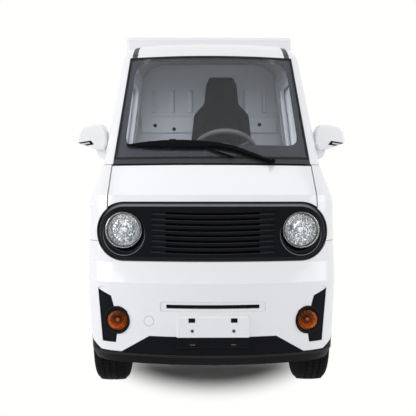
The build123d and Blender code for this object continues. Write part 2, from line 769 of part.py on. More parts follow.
with BuildPart() as grille_seat:
    add(grille_flange)
    add(grille_inner, mode=Mode.SUBTRACT)
    add(grille_plug, mode=Mode.INTERSECT)

with BuildPart() as lamp_funnels:
    for side in (-1, 1):
        funnel_centre = (side * LAMP_X, back(FUNNEL_DEPTH / 2), LAMP_Z - FUNNEL_DROP / 2)
        rod(funnel_centre, (0, 1, 0), LAMP_RADIUS + FUNNEL_WALL, FUNNEL_DEPTH)
    add(grille_face, mode=Mode.INTERSECT)

with BuildPart() as grille_panel:
    add(grille_face)
    add(grille_inner, mode=Mode.SUBTRACT)
    add(stadium_prism(-GRILLE_REVEAL), mode=Mode.INTERSECT)
    fronts = faces().filter_by(lambda f: f.normal_at().Y < -0.3)
    front_edges = fronts.edges()
    rim = [e for e in front_edges if sum(1 for f in fronts for h in f.edges() if h.is_same(e)) == 1]
    chamfer(rim, length=GRILLE_EDGE)
    add(grille_seat.part)
    add(lamp_funnels.part)
    add(slat_gaps(SLOT_HALF), mode=Mode.SUBTRACT)
    add(slat_grooves.part, mode=Mode.SUBTRACT)
    for side in (-1, 1):
        with BuildSketch(Plane.XZ.offset(-back(60))):
            with Locations((side * LAMP_X, LAMP_Z - 2 * FUNNEL_DROP)):
                Circle(LAMP_RADIUS + 27)
        with BuildSketch(Plane.XZ.offset(-back(160))):
            with Locations((side * LAMP_X, LAMP_Z)):
                Circle(LAMP_RADIUS)
        loft(mode=Mode.SUBTRACT)
        rod((side * LAMP_X, back(150), LAMP_Z), (0, 1, 0), LAMP_RADIUS, 200, mode=Mode.SUBTRACT)
save(grille_panel, "grille_panel")

# Headlamps: a deep reflector bowl behind a domed lens
BOWL_FRONT = 140
BOWL_DEPTH = 80
LENS_EDGE = LAMP_RADIUS - SEAT_GAP


def dome(edge, depth, tip, share=0.6):
    """Three points of a round dome about the Y axis, from its tip to its edge."""
    radius = (edge**2 + depth**2) / (2 * abs(depth))
    drop = radius - sqrt(radius**2 - (share * edge) ** 2)
    sign = 1 if depth > 0 else -1
    return (0, tip), (share * edge, tip + sign * drop), (edge, tip + depth)


with BuildPart() as headlamp_bowls:
    for side in (-1, 1):
        with BuildSketch(Plane(origin=(side * LAMP_X, back(0), LAMP_Z), x_dir=(1, 0, 0), z_dir=(0, 0, 1))):
            with BuildLine():
                ThreePointArc(*dome(LENS_EDGE - 5, -70, BOWL_FRONT + 70))
                Polyline(
                    (LENS_EDGE - 5, BOWL_FRONT),
                    (LENS_EDGE, BOWL_FRONT),
                    (LENS_EDGE, BOWL_FRONT + 45),
                    (LENS_EDGE - 40, BOWL_FRONT + BOWL_DEPTH),
                    (0, BOWL_FRONT + BOWL_DEPTH),
                    (0, BOWL_FRONT + 70),
                )
            make_face()
        revolve(axis=Axis((side * LAMP_X, back(0), LAMP_Z), (0, 1, 0)))
save(headlamp_bowls, "headlamp_bowls")

with BuildPart() as headlamp_lenses:
    for side in (-1, 1):
        with BuildSketch(Plane(origin=(side * LAMP_X, back(0), LAMP_Z), x_dir=(1, 0, 0), z_dir=(0, 0, 1))):
            with BuildLine():
                ThreePointArc(*dome(LENS_EDGE, 20, BOWL_FRONT - 24))
                Polyline((LENS_EDGE, BOWL_FRONT - 4), (LENS_EDGE, BOWL_FRONT), (LENS_EDGE - 4, BOWL_FRONT))
                ThreePointArc(*dome(LENS_EDGE - 4, 19, BOWL_FRONT - 19))
                Line((0, BOWL_FRONT - 19), (0, BOWL_FRONT - 24))
            make_face()
        revolve(axis=Axis((side * LAMP_X, back(0), LAMP_Z), (0, 1, 0)))
save(headlamp_lenses, "headlamp_lenses")

# Turn signals: a black bezel let into the bumper and a round amber lens
SIGNAL_FRONT = 84
bezel_outer = cab_solid(4)
with BuildPart() as signal_bezels:
    for prism in signal_prisms:
        add(prism)
    add(bezel_outer, mode=Mode.INTERSECT)
    add(cab_fascia_inner, mode=Mode.SUBTRACT)
    block(-800, 800, back(-50), back(POST_FRONT), 0, CORNER_SPLIT_Z, mode=Mode.INTERSECT)
    for side in (-1, 1):
        rod(
            (side * SIGNAL_X, back(100), SIGNAL_Z),
            (0, 1, 0),
            SIGNAL_RADIUS + SEAT_GAP,
            400,
            mode=Mode.SUBTRACT,
        )
save(signal_bezels, "signal_bezels")

with BuildPart() as signal_lenses:
    for side in (-1, 1):
        signal_centre = (side * SIGNAL_X, back(0), SIGNAL_Z)
        with BuildSketch(Plane(origin=signal_centre, x_dir=(1, 0, 0), z_dir=(0, 0, 1))):
            with BuildLine():
                ThreePointArc(*dome(SIGNAL_RADIUS, 14, SIGNAL_FRONT))
                Line((SIGNAL_RADIUS, SIGNAL_FRONT + 14), (SIGNAL_RADIUS, SIGNAL_FRONT + 50))
                Line((SIGNAL_RADIUS, SIGNAL_FRONT + 50), (0, SIGNAL_FRONT + 50))
                Line((0, SIGNAL_FRONT + 50), (0, SIGNAL_FRONT))
            make_face()
        revolve(axis=Axis(signal_centre, (0, 1, 0)))
save(signal_lenses, "signal_lenses")

# Wiper: one arm on a spindle in the cowl, a thin guide link, and a broad blade along the glass
wiper_outer = cab_solid(-16)
wiper_inner = cab_solid(-3)
blade_outline = [
    (-456, 1300),
    (-456, 1305),
    (-369, 1317),
    (-259, 1326),
    (-150, 1327),
    (-47, 1321),
    (73, 1303),
    (73, 1290),
    (-47, 1281),
    (-150, 1281),
    (-259, 1283),
    (-369, 1289),
]
arm_upper = [(-40, 1296), (0, 1318), (120, 1295), (240, 1248), (327, 1212)]
arm_lower = [(318, 1200), (230, 1225), (110, 1268)]
link_outline = [(-52, 1290), (-38, 1290), (112, 1236), (106, 1229)]
wiper_blade = front_prism(blade_outline, depth=800)
wiper_arm = front_prism(arm_upper + arm_lower, depth=800)
wiper_link = front_prism(link_outline, depth=800)
with BuildPart() as wiper:
    add(wiper_blade)
    add(wiper_arm)
    add(wiper_link)
    add(wiper_outer, mode=Mode.INTERSECT)
    add(wiper_inner, mode=Mode.SUBTRACT)
    block(-700, 700, back(-50), back(600), BELT_Z, ROOF_Z, mode=Mode.INTERSECT)
    rod((315, back(278), 1212), (0, 1, 0), 11, 50)
    add(cab_skin, mode=Mode.SUBTRACT)
save(wiper, "wiper")

# Roof: a domed cap on the pillars, with a ditch for the black strip along each side
DITCH_X = 434
DITCH_WIDTH = 30
DITCH_DEPTH = 6


def roof_form(inset, drop):
    """The roof's outer form, drawn in by an inset and lowered by a drop."""
    with BuildPart() as form:
        for height, half_width, set_back, bow_radius, corner_radius in ROOF_SECTIONS:
            add(cab_outline(height - drop, half_width, set_back, bow_radius, corner_radius, inset))
        loft()
    return form.part


roof_outer = roof_form(0, 0)
roof_inner = roof_form(ROOF_WALL, ROOF_WALL)
ditch_floor = roof_form(0, DITCH_DEPTH)
with BuildPart() as roof_ditches:
    for side in (-1, 1):
        ditch_in = side * (DITCH_X - DITCH_WIDTH / 2)
        ditch_out = side * (DITCH_X + DITCH_WIDTH / 2)
        block(ditch_in, ditch_out, back(500), BACK_Y, ROOF_Z + 25, ROOF_TOP + 20)
    add(ditch_floor, mode=Mode.SUBTRACT)
with BuildPart() as roof_panel:
    add(roof_outer)
    add(roof_inner, mode=Mode.SUBTRACT)
    block(-700, 700, back(CAB_DEPTH - BACK_WALL), back(CAB_DEPTH), ROOF_Z, ROOF_TOP + 20, mode=Mode.SUBTRACT)
    add(roof_ditches.part, mode=Mode.SUBTRACT)
save(roof_panel, "roof_panel")

# Back wall of the cab, with a pressed cross rail and upright ribs above it
RIB_COUNT = 7
RIB_PITCH = 126
WALL_FRONT_Y = BACK_Y - BACK_WALL
with BuildPart() as wall_pressings:
    block(-470, 470, WALL_FRONT_Y - 12, WALL_FRONT_Y, 1469, 1584)
    for rib in range(RIB_COUNT):
        rib_x = (rib - (RIB_COUNT - 1) / 2) * RIB_PITCH
        block(rib_x - 14, rib_x + 14, WALL_FRONT_Y - 8, WALL_FRONT_Y, 1610, 1765)
    chamfer(faces().filter_by(lambda f: f.normal_at().Y < -0.9).edges(), length=6)
with BuildPart() as back_panel:
    add(cab_skin)
    add(roof_outer)
    block(-700, 700, WALL_FRONT_Y, BACK_Y, FLOOR_BOTTOM, ROOF_TOP + 20, mode=Mode.INTERSECT)
    add(wall_pressings.part)
save(back_panel, "back_panel")

# Dashboard across the bulkhead, with a hood over the instruments
dash_form = cab_solid(SIDE_WALL + 2)
dash_profile = [
    (FIREWALL_BACK, 1010),
    (560, 1010),
    (632, 1070),
    (640, 1130),
    (604, 1186),
    (FIREWALL_BACK, BELT_Z),
]
with BuildPart() as dash_bar:
    with BuildSketch(Plane.YZ):
        with BuildLine():
            Polyline(*[(back(d), z) for d, z in dash_profile], close=True)
        make_face()
        fillet(vertices().sort_by(Axis.X)[2:], radius=14)
    extrude(amount=REACH / 4, both=True)
with BuildPart() as dashboard:
    add(dash_form)
    add(dash_bar.part, mode=Mode.INTERSECT)
    with BuildSketch(Plane.XZ.offset(-back(500))):
        with BuildLine():
            Line((WHEEL_X - 150, 1150), (WHEEL_X + 150, 1150))
            ThreePointArc((WHEEL_X + 150, 1150), (WHEEL_X, 1226), (WHEEL_X - 150, 1150))
        make_face()
    extrude(amount=-110)
save(dashboard, "dashboard")

# Steering column and steering wheel
tilt = radians(WHEEL_TILT)
column_dir = (0, sin(tilt), cos(tilt))
wheel_centre = (WHEEL_X, back(WHEEL_BACK), WHEEL_Z)


def along_column(distance):
    """A point on the steering axis, measured upwards from the wheel's centre."""
    return tuple(c + distance * d for c, d in zip(wheel_centre, column_dir))


with BuildPart() as steering_column:
    rod(along_column(-190), column_dir, 32, 280)
    add(dashboard.part, mode=Mode.SUBTRACT)
save(steering_column, "steering_column")

with BuildPart() as steering_wheel:
    with Locations(Plane(origin=wheel_centre, x_dir=(1, 0, 0), z_dir=column_dir)):
        Torus(WHEEL_RING, WHEEL_GRIP)
        Cylinder(48, 34)
        for turn in (0, 120, 240):
            with Locations(Rotation(0, 0, turn + 90)):
                with Locations((WHEEL_RING / 2, 0, 0)):
                    Box(WHEEL_RING, 26, 12)
    rod(along_column(-33), column_dir, 14, 34)
save(steering_wheel, "steering_wheel")

# Driver's seat: a pedestal, a cushion and a tall back with its headrest
with BuildPart() as seat_base:
    with BuildSketch(Plane.XY.offset(FLOOR_TOP)):
        with Locations((SEAT_X, back(1145))):
            RectangleRounded(400, 440, 30)
    extrude(amount=880 - FLOOR_TOP, taper=3)
save(seat_base, "seat_base")
with BuildPart() as seat_cushion:
    block(SEAT_X - 210, SEAT_X + 210, back(900), back(1340), 880, 985)
    fillet(edges().filter_by(Axis.Z), radius=40)
save(seat_cushion, "seat_cushion")
lean = radians(SEAT_LEAN)
seat_plane = Plane(origin=(SEAT_X, back(1255), 985), x_dir=(1, 0, 0), z_dir=(0, -cos(lean), sin(lean)))
seat_profile = [(200, -30), (206, 420), (190, 580), (122, 660), (106, 790), (78, 845)]
with BuildPart() as seat_back:
    with BuildSketch(seat_plane):
        with BuildLine():
            Polyline(*seat_profile, *[(-x, y) for x, y in reversed(seat_profile)], close=True)
        make_face()
        fillet(vertices(), radius=24)
    extrude(amount=105)
    block(SEAT_X - 250, SEAT_X + 250, back(900), back(1400), 900, 985, mode=Mode.SUBTRACT)
save(seat_back, "seat_back")

# Wheel-house liners over the front wheels
LINER_WALL = 5
with BuildPart() as liner_hollow:
    rod((0, FRONT_AXLE_Y, TYRE_RADIUS), (1, 0, 0), ARCH_RADIUS, 1400)
    block(-700, 700, back(0), back(1400), FLOOR_BOTTOM - LINER_WALL, 900, mode=Mode.SUBTRACT)
with BuildPart() as wheel_liners:
    for side in (-1, 1):
        inner_x = side * 300
        outer_x = side * 566
        middle_x = (inner_x + outer_x) / 2
        length = abs(outer_x - inner_x)
        rod((middle_x, FRONT_AXLE_Y, TYRE_RADIUS), (1, 0, 0), ARCH_RADIUS + LINER_WALL, length)
    block(-700, 700, back(0), back(1400), -400, 262, mode=Mode.SUBTRACT)
    block(-700, 700, back(0), back(1400), FLOOR_BOTTOM, 900, mode=Mode.SUBTRACT)
    add(liner_hollow.part, mode=Mode.SUBTRACT)
save(wheel_liners, "wheel_liners")

# Load box: floor with bearers and a raised deck, front wall, side walls, roof and rear portal
with BuildPart() as box_floor:
    block(-BOX_HALF, BOX_HALF, BOX_FRONT_Y, BOX_REAR_Y, BOX_BOTTOM, BOX_FLOOR_TOP)
    fillet(edges().filter_by(Axis.Z).sort_by(Axis.Y)[:2], radius=BOX_ROUND)
    for bearer in range(BEARER_COUNT):
        bearer_y = BOX_FRONT_Y + 130 + bearer * (BOX_REAR_Y - BOX_FRONT_Y - 180) / (BEARER_COUNT - 1)
        block(-400, 400, bearer_y - 25, bearer_y + 25, RAIL_TOP, BOX_BOTTOM)
    block(
        -BOX_HALF + BOX_WALL + DECK_GAP,
        BOX_HALF - BOX_WALL - DECK_GAP,
        BOX_FRONT_Y + BOX_WALL + DECK_GAP,
        PORTAL_Y - DECK_GAP,
        BOX_FLOOR_TOP,
        BOX_FLOOR_TOP + DECK_RISE,
    )
save(box_floor, "box_floor")

with BuildPart() as box_form:
    block(-BOX_HALF, BOX_HALF, BOX_FRONT_Y, BOX_REAR_Y, BOX_FLOOR_TOP, BOX_TOP)
    fillet(edges().filter_by(Axis.Z).sort_by(Axis.Y)[:2], radius=BOX_ROUND)
    fillet(faces().sort_by(Axis.Z)[-1].edges().sort_by(Axis.Y)[:-1], radius=BOX_ROUND - 1)
with BuildPart() as box_hollow:
    block(
        -BOX_HALF + BOX_WALL,
        BOX_HALF - BOX_WALL,
        BOX_FRONT_Y + BOX_WALL,
        BOX_REAR_Y + 10,
        BOX_FLOOR_TOP - 10,
        BOX_TOP - BOX_WALL,
    )
with BuildPart() as box_front_wall:
    add(box_form.part)
    wall_back_y = BOX_FRONT_Y + BOX_WALL
    block(-700, 700, BOX_FRONT_Y, wall_back_y, BOX_FLOOR_TOP, BOX_TOP - BOX_WALL, mode=Mode.INTERSECT)
save(box_front_wall, "box_front_wall")
with BuildPart() as box_side_walls:
    add(box_form.part)
    add(box_hollow.part, mode=Mode.SUBTRACT)
    block(-700, 700, wall_back_y, PORTAL_Y, BOX_FLOOR_TOP, BOX_TOP - BOX_WALL, mode=Mode.INTERSECT)
save(box_side_walls, "box_side_walls")
with BuildPart() as box_roof:
    add(box_form.part)
    block(-700, 700, BOX_FRONT_Y, PORTAL_Y, BOX_TOP - BOX_WALL, BOX_TOP, mode=Mode.INTERSECT)
save(box_roof, "box_roof")
with BuildPart() as rear_portal:
    add(box_form.part)
    block(-700, 700, PORTAL_Y, BOX_REAR_Y, BOX_FLOOR_TOP, BOX_TOP, mode=Mode.INTERSECT)
    block(
        -BOX_HALF + PORTAL_SIDE,
        BOX_HALF - PORTAL_SIDE,
        PORTAL_Y - 10,
        BOX_REAR_Y + 10,
        BOX_FLOOR_TOP - 10,
        BOX_TOP - PORTAL_SIDE,
        mode=Mode.SUBTRACT,
    )
    for side in (-1, 1):
        for hinge_z in REAR_HINGE_Z:
            low_z = hinge_z - HINGE_LENGTH / 2
            block(
                side * (BOX_HALF - 4),
                side * REAR_AXIS_X,
                BOX_REAR_Y,
                REAR_AXIS_Y,
                low_z - HINGE_LENGTH / 2 + 1,
                low_z + HINGE_LENGTH / 2 - 1,
            )
            rod((side * REAR_AXIS_X, REAR_AXIS_Y, low_z), (0, 0, 1), HINGE_RADIUS, HINGE_LENGTH - 1)
            rod((side * REAR_AXIS_X, REAR_AXIS_Y, hinge_z), (0, 0, 1), HINGE_PIN, 2 * HINGE_LENGTH - 6)
save(rear_portal, "rear_portal")

# Rear doors: two leaves hung outside the portal, with pressed panels and a sunk paddle latch
PANEL_DEPTH = 5
LATCH_X = 62
LATCH_Z = 1255
LATCH_DEPTH = 16
REAR_DOOR_FRONT = BOX_REAR_Y + SHUT_GAP
REAR_DOOR_BACK = REAR_DOOR_FRONT + REAR_DOOR_WALL
for side, name in ((1, "left"), (-1, "right")):
    with BuildPart() as rear_door:
        block(
            side * SHUT_GAP / 2,
            side * REAR_DOOR_EDGE,
            REAR_DOOR_FRONT,
            REAR_DOOR_BACK,
            REAR_DOOR_BOTTOM,
            REAR_DOOR_TOP,
        )
        for low, high in ((0.05, 0.36), (0.46, 0.95)):
            panel_low = REAR_DOOR_BOTTOM + low * (REAR_DOOR_TOP - REAR_DOOR_BOTTOM)
            panel_high = REAR_DOOR_BOTTOM + high * (REAR_DOOR_TOP - REAR_DOOR_BOTTOM)
            with BuildSketch(Plane.XZ.offset(-REAR_DOOR_BACK)):
                with Locations((side * (REAR_DOOR_EDGE / 2 + 4), (panel_low + panel_high) / 2)):
                    RectangleRounded(REAR_DOOR_EDGE - 130, panel_high - panel_low, 30)
            extrude(amount=PANEL_DEPTH, taper=40, mode=Mode.SUBTRACT)
        with BuildSketch(Plane.XZ.offset(-REAR_DOOR_BACK)):
            with Locations((side * LATCH_X, LATCH_Z)):
                RectangleRounded(90, 120, 14)
        extrude(amount=LATCH_DEPTH, mode=Mode.SUBTRACT)
        block(
            side * (LATCH_X - 36),
            side * (LATCH_X + 36),
            REAR_DOOR_BACK - LATCH_DEPTH,
            REAR_DOOR_BACK - 3,
            LATCH_Z + 4,
            LATCH_Z + 48,
        )
        for hinge_z in REAR_HINGE_Z:
            high_z = hinge_z + HINGE_LENGTH / 2
            block(
                side * (REAR_DOOR_EDGE - 12),
                side * REAR_AXIS_X,
                REAR_AXIS_Y - 5,
                REAR_AXIS_Y + 5,
                high_z - HINGE_LENGTH / 2 + 1,
                high_z + HINGE_LENGTH / 2 - 1,
            )
            rod((side * REAR_AXIS_X, REAR_AXIS_Y, high_z), (0, 0, 1), HINGE_RADIUS, HINGE_LENGTH - 1)
            rod(
                (side * REAR_AXIS_X, REAR_AXIS_Y, high_z),
                (0, 0, 1),
                HINGE_PIN + SEAT_GAP,
                HINGE_LENGTH + 4,
                mode=Mode.SUBTRACT,
            )
    save(rear_door, "rear_door_" + name)

# Rear bumper beam across the rail ends, tail lamps and rear mudguards
BUMPER_BOTTOM = 400
BUMPER_TOP = 500
with BuildPart() as rear_bumper:
    block(-560, 560, BOX_REAR_Y, REAR_Y, BUMPER_BOTTOM, BUMPER_TOP)
    fillet(faces().sort_by(Axis.Y)[-1].edges(), radius=12)
save(rear_bumper, "rear_bumper")
with BuildPart() as tail_lamps:
    for side in (-1, 1):
        block(side * 420, side * 545, BOX_REAR_Y + 5, REAR_Y - 14, BUMPER_TOP, BUMPER_TOP + 85)
    fillet(edges().filter_by(Axis.Y), radius=8)
save(tail_lamps, "tail_lamps")
GUARD_RADIUS = 318
with BuildPart() as rear_mudguards:
    for side in (-1, 1):
        rod((side * 545, REAR_AXLE_Y, TYRE_RADIUS), (1, 0, 0), GUARD_RADIUS + 5, 190)
        block(
            side * 470,
            side * 560,
            REAR_AXLE_Y - 60,
            REAR_AXLE_Y + 60,
            TYRE_RADIUS,
            BOX_BOTTOM,
        )
    rod((0, REAR_AXLE_Y, TYRE_RADIUS), (1, 0, 0), GUARD_RADIUS, 1400, mode=Mode.SUBTRACT)
    block(-700, 700, REAR_AXLE_Y - 500, REAR_AXLE_Y + 500, -100, TYRE_RADIUS + 30, mode=Mode.SUBTRACT)
save(rear_mudguards, "rear_mudguards")

# Wheels: steel rims with hub, vent holes and brake drum, and their tyres
VENT_CIRCLE = 86
VENT_COUNT = 8
VENT_RADIUS = 10
WHEELS = [
    # name, side, axle
    ("front_left", 1, FRONT_AXLE_Y),
    ("front_right", -1, FRONT_AXLE_Y),
    ("rear_left", 1, REAR_AXLE_Y),
    ("rear_right", -1, REAR_AXLE_Y),
]
for name, side, axle_y in WHEELS:
    centre = (side * TRACK_HALF, axle_y, TYRE_RADIUS)
    profile_plane = Plane(origin=centre, x_dir=(side, 0, 0), z_dir=(0, side, 0))
    half = TYRE_WIDTH / 2
    bead = RIM_RADIUS + SEAT_GAP
    with BuildPart() as tyre:
        with BuildSketch(profile_plane):
            with BuildLine():
                Polyline((-half + 15, -bead), (-half + 2, -bead - 16), (-half, -bead - 45))
                Polyline((-half, -bead - 45), (-half + 6, -TYRE_RADIUS + 26), (-half + 26, -TYRE_RADIUS + 3))
                ThreePointArc(
                    (-half + 26, -TYRE_RADIUS + 3), (0, -TYRE_RADIUS), (half - 26, -TYRE_RADIUS + 3)
                )
                Polyline((half - 26, -TYRE_RADIUS + 3), (half - 6, -TYRE_RADIUS + 26), (half, -bead - 45))
                Polyline((half, -bead - 45), (half - 2, -bead - 16), (half - 15, -bead), (-half + 15, -bead))
            make_face()
        revolve(axis=Axis(centre, (1, 0, 0)))
    save(tyre, "tyre_" + name)
    with BuildPart() as rim:
        with BuildSketch(profile_plane):
            with BuildLine():
                Polyline(
                    (-half + 15, -RIM_RADIUS),
                    (half - 15, -RIM_RADIUS),
                    (half - 15, -RIM_RADIUS + 6),
                    (44, -RIM_RADIUS + 6),
                    (34, -RIM_RADIUS + 40),
                    (22, -70),
                    (34, -40),
                    (34, -SPINDLE_RADIUS - SEAT_GAP),
                    (-24, -SPINDLE_RADIUS - SEAT_GAP),
                    (-24, -40),
                    (10, -46),
                    (10, -70),
                    (12, -100),
                    (-30, -100),
                    (-30, -108),
                    (16, -108),
                    (26, -RIM_RADIUS + 34),
                    (34, -RIM_RADIUS + 6),
                    (-half + 15, -RIM_RADIUS + 6),
                    close=True,
                )
            make_face()
        revolve(axis=Axis(centre, (1, 0, 0)))
        with Locations(Plane(origin=centre, z_dir=(side, 0, 0)).offset(20)):
            with PolarLocations(VENT_CIRCLE, VENT_COUNT):
                Cylinder(VENT_RADIUS, 40, mode=Mode.SUBTRACT)
    save(rim, "rim_" + name)

# Steering knuckles: a yoke on the king pin, a stub axle and a steering arm
for name, side in (("left", 1), ("right", -1)):
    pin_x = side * AXLE_EYE_X
    with BuildPart() as knuckle:
        for end in (-1, 1):
            rod((pin_x, FRONT_AXLE_Y, TYRE_RADIUS + end * 37), (0, 0, 1), 26, 24)
            block(
                pin_x,
                pin_x + side * 44,
                FRONT_AXLE_Y - 26,
                FRONT_AXLE_Y + 26,
                TYRE_RADIUS + end * 25,
                TYRE_RADIUS + end * 49,
            )
        block(
            pin_x + side * 32,
            pin_x + side * 44,
            FRONT_AXLE_Y - 26,
            FRONT_AXLE_Y + 26,
            TYRE_RADIUS - 49,
            TYRE_RADIUS + 49,
        )
        rod((pin_x, FRONT_AXLE_Y, TYRE_RADIUS), (0, 0, 1), KINGPIN_RADIUS, 98)
        rod(
            (pin_x + side * (KINGPIN_IN / 2 + 34), FRONT_AXLE_Y, TYRE_RADIUS),
            (1, 0, 0),
            SPINDLE_RADIUS,
            KINGPIN_IN,
        )
        block(pin_x - side * 22, pin_x, FRONT_AXLE_Y, FRONT_AXLE_Y + 135, TYRE_RADIUS - 49, TYRE_RADIUS - 33)
    save(knuckle, "knuckle_" + name)
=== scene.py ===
from math import cos, pi, radians, sin

import bmesh
import bpy
from mathutils import Matrix, Vector


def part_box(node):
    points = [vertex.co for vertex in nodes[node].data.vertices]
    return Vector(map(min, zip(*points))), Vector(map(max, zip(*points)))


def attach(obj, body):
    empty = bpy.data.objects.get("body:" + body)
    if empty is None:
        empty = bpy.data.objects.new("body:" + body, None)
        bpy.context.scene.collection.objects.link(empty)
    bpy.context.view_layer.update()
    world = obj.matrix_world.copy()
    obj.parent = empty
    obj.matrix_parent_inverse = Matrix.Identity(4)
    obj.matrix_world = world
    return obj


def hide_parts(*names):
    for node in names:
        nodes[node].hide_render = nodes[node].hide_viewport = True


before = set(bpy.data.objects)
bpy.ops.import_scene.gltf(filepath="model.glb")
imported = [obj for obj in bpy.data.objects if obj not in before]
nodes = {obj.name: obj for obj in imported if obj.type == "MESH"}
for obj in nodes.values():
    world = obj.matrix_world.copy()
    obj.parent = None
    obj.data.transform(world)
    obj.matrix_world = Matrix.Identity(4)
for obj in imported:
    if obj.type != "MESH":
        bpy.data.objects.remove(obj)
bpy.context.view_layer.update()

scene = bpy.context.scene

# Camera: stands in front of the truck at chest height, a little to one side of its middle,
# and looks straight at the face of the cab.
camera_lens = bpy.data.cameras.new("camera")
camera_lens.sensor_width = 36
camera_lens.lens = 57.72
camera = bpy.data.objects.new("camera", camera_lens)
camera.location = (-0.062, -4.95, 1.010)
camera.rotation_euler = Vector((0.0118, 1.0, -0.0120)).to_track_quat("-Z", "Y").to_euler()
scene.collection.objects.link(camera)
scene.camera = camera
scene.view_settings.view_transform = "Standard"

# Studio: a pale seamless floor that turns to plain white away from the truck's shadow,
# with large soft lamps overhead, in front and at either side.
PAPER_WHITE = (1, 1, 0.985, 1)
FLOOR_TONE = (0.95, 0.95, 0.945, 1)
FLOOR_HALF_WIDTH = 0.80
FLOOR_HALF_LENGTH = 1.89
FLOOR_SHADE_SHIFT = 0.45
FLOOR_CLEAR_FROM = 0.84
FLOOR_CLEAR_TO = 1.12


def feed(tree, node, inputs):
    """Gives each input of a shader node its value, or the socket that feeds it."""
    for place, value in inputs.items():
        if isinstance(value, bpy.types.NodeSocket):
            tree.links.new(value, node.inputs[place])
        else:
            node.inputs[place].default_value = value


def add_node(tree, kind, inputs=None, **settings):
    """A new shader node with its settings and inputs."""
    node = tree.nodes.new("ShaderNode" + kind)
    for label, value in settings.items():
        setattr(node, label, value)
    feed(tree, node, inputs or {})
    return node


def reckon(tree, operation, *terms, **settings):
    """The result of a sum with numbers or sockets."""
    return add_node(tree, "Math", dict(enumerate(terms)), operation=operation, **settings).outputs[0]


def remap(tree, value, start, end, low=0.0, high=1.0, **settings):
    """A value carried over from one range to another."""
    inputs = {"Value": value, "From Min": start, "From Max": end, "To Min": low, "To Max": high}
    return add_node(tree, "MapRange", inputs, **settings).outputs["Result"]


def start_finish(name, inputs=None):
    """A new material with its tree and its Principled shader, whose inputs take these values."""
    material = bpy.data.materials.new(name)
    material.use_nodes = True
    tree = material.node_tree
    shader = tree.nodes["Principled BSDF"]
    feed(tree, shader, inputs or {})
    return material, tree, shader


def make_piece(mesh, name, finish, smooth=None):
    """Turns a finished bmesh into an object with its material; smooth is the crease angle."""
    data = bpy.data.meshes.new(name)
    mesh.to_mesh(data)
    mesh.free()
    data.materials.append(finish)
    piece = bpy.data.objects.new(name, data)
    scene.collection.objects.link(piece)
    if smooth is not None:
        data.shade_smooth()
        data.set_sharp_from_angle(angle=radians(smooth))
    return piece


def seen_straight(tree):
    """One where a ray comes from the camera, a mirror-like surface or through glass."""
    path = add_node(tree, "LightPath")
    first = reckon(tree, "MAXIMUM", path.outputs["Is Camera Ray"], path.outputs["Is Glossy Ray"])
    return reckon(tree, "MAXIMUM", first, path.outputs["Is Transmission Ray"])


def surface_place(tree):
    """The place of a surface point on its piece."""
    return add_node(tree, "TexCoord").outputs["Object"]


def end_in_mix(tree, share, first, second):
    """Ends a material in a mix of two shaders."""
    mix = add_node(tree, "MixShader", {"Fac": share, 1: first, 2: second})
    tree.links.new(mix.outputs["Shader"], tree.nodes["Material Output"].inputs["Surface"])


floor_mesh = bmesh.new()
bmesh.ops.create_grid(floor_mesh, x_segments=2, y_segments=2, size=30)
floor_finish, tree, shader = start_finish(
    "studio_floor", {"Base Color": FLOOR_TONE, "Roughness": 0.9, "Specular IOR Level": 0.0}
)
footprint = add_node(
    tree,
    "Mapping",
    {
        "Location": (0, -FLOOR_SHADE_SHIFT / FLOOR_HALF_LENGTH, 0),
        "Scale": (1 / FLOOR_HALF_WIDTH, 1 / FLOOR_HALF_LENGTH, 0),
        "Vector": surface_place(tree),
    },
)
distance = add_node(tree, "VectorMath", {0: footprint.outputs["Vector"]}, operation="LENGTH")
clearing = remap(tree, distance.outputs["Value"], FLOOR_CLEAR_FROM, FLOOR_CLEAR_TO, interpolation_type="SMOOTHSTEP")
clear_and_seen = reckon(tree, "MULTIPLY", clearing, seen_straight(tree))
plain_white = add_node(tree, "Emission", {"Color": PAPER_WHITE})
end_in_mix(tree, clear_and_seen, shader.outputs["BSDF"], plain_white.outputs["Emission"])
make_piece(floor_mesh, "studio_floor", floor_finish)

SKY_LEVEL = 0.45
world = bpy.data.worlds.new("studio")
world.use_nodes = True
scene.world = world
tree = world.node_tree
level = add_node(tree, "Mix", {"A": SKY_LEVEL, "B": 1.0, "Factor": seen_straight(tree)})
feed(tree, tree.nodes["Background"], {"Color": PAPER_WHITE, "Strength": level.outputs["Result"]})

STUDIO_LAMPS = [
    # name, place, aim, width, height, power
    ("overhead_lamp", (0.0, -1.6, 7.0), (0.0, -1.6, 0.0), 6.0, 3.2, 90),
    ("front_lamp", (-0.8, -6.6, 3.6), (0.0, -1.0, 1.0), 5.0, 3.0, 54),
    ("left_lamp", (-4.6, -2.6, 2.4), (0.0, -0.8, 1.0), 4.0, 3.0, 108),
    ("right_lamp", (4.6, -2.6, 2.4), (0.0, -0.8, 1.0), 4.0, 3.0, 74),
]
for name, place, aim, width, height, power in STUDIO_LAMPS:
    lamp_data = bpy.data.lights.new(name, "AREA")
    lamp_data.shape = "RECTANGLE"
    lamp_data.size = width
    lamp_data.size_y = height
    lamp_data.energy = power
    lamp = bpy.data.objects.new(name, lamp_data)
    lamp.location = place
    lamp.rotation_euler = (Vector(aim) - Vector(place)).to_track_quat("-Z", "Y").to_euler()
    scene.collection.objects.link(lamp)

# Ladder frame: two pressed steel channels with cross members, in satin black chassis paint
# that road dust dulls low down. The cab and the load box bolt to it.
LIP_RADIUS = 0.004
GRAIN_DEPTH = 0.001
FRAME_SIDE = 0.198
BOLT_ROWS = (-1.47, -0.89, 0.61, 1.35, 1.66)
BOLT_HEIGHTS = (0.465, 0.505)


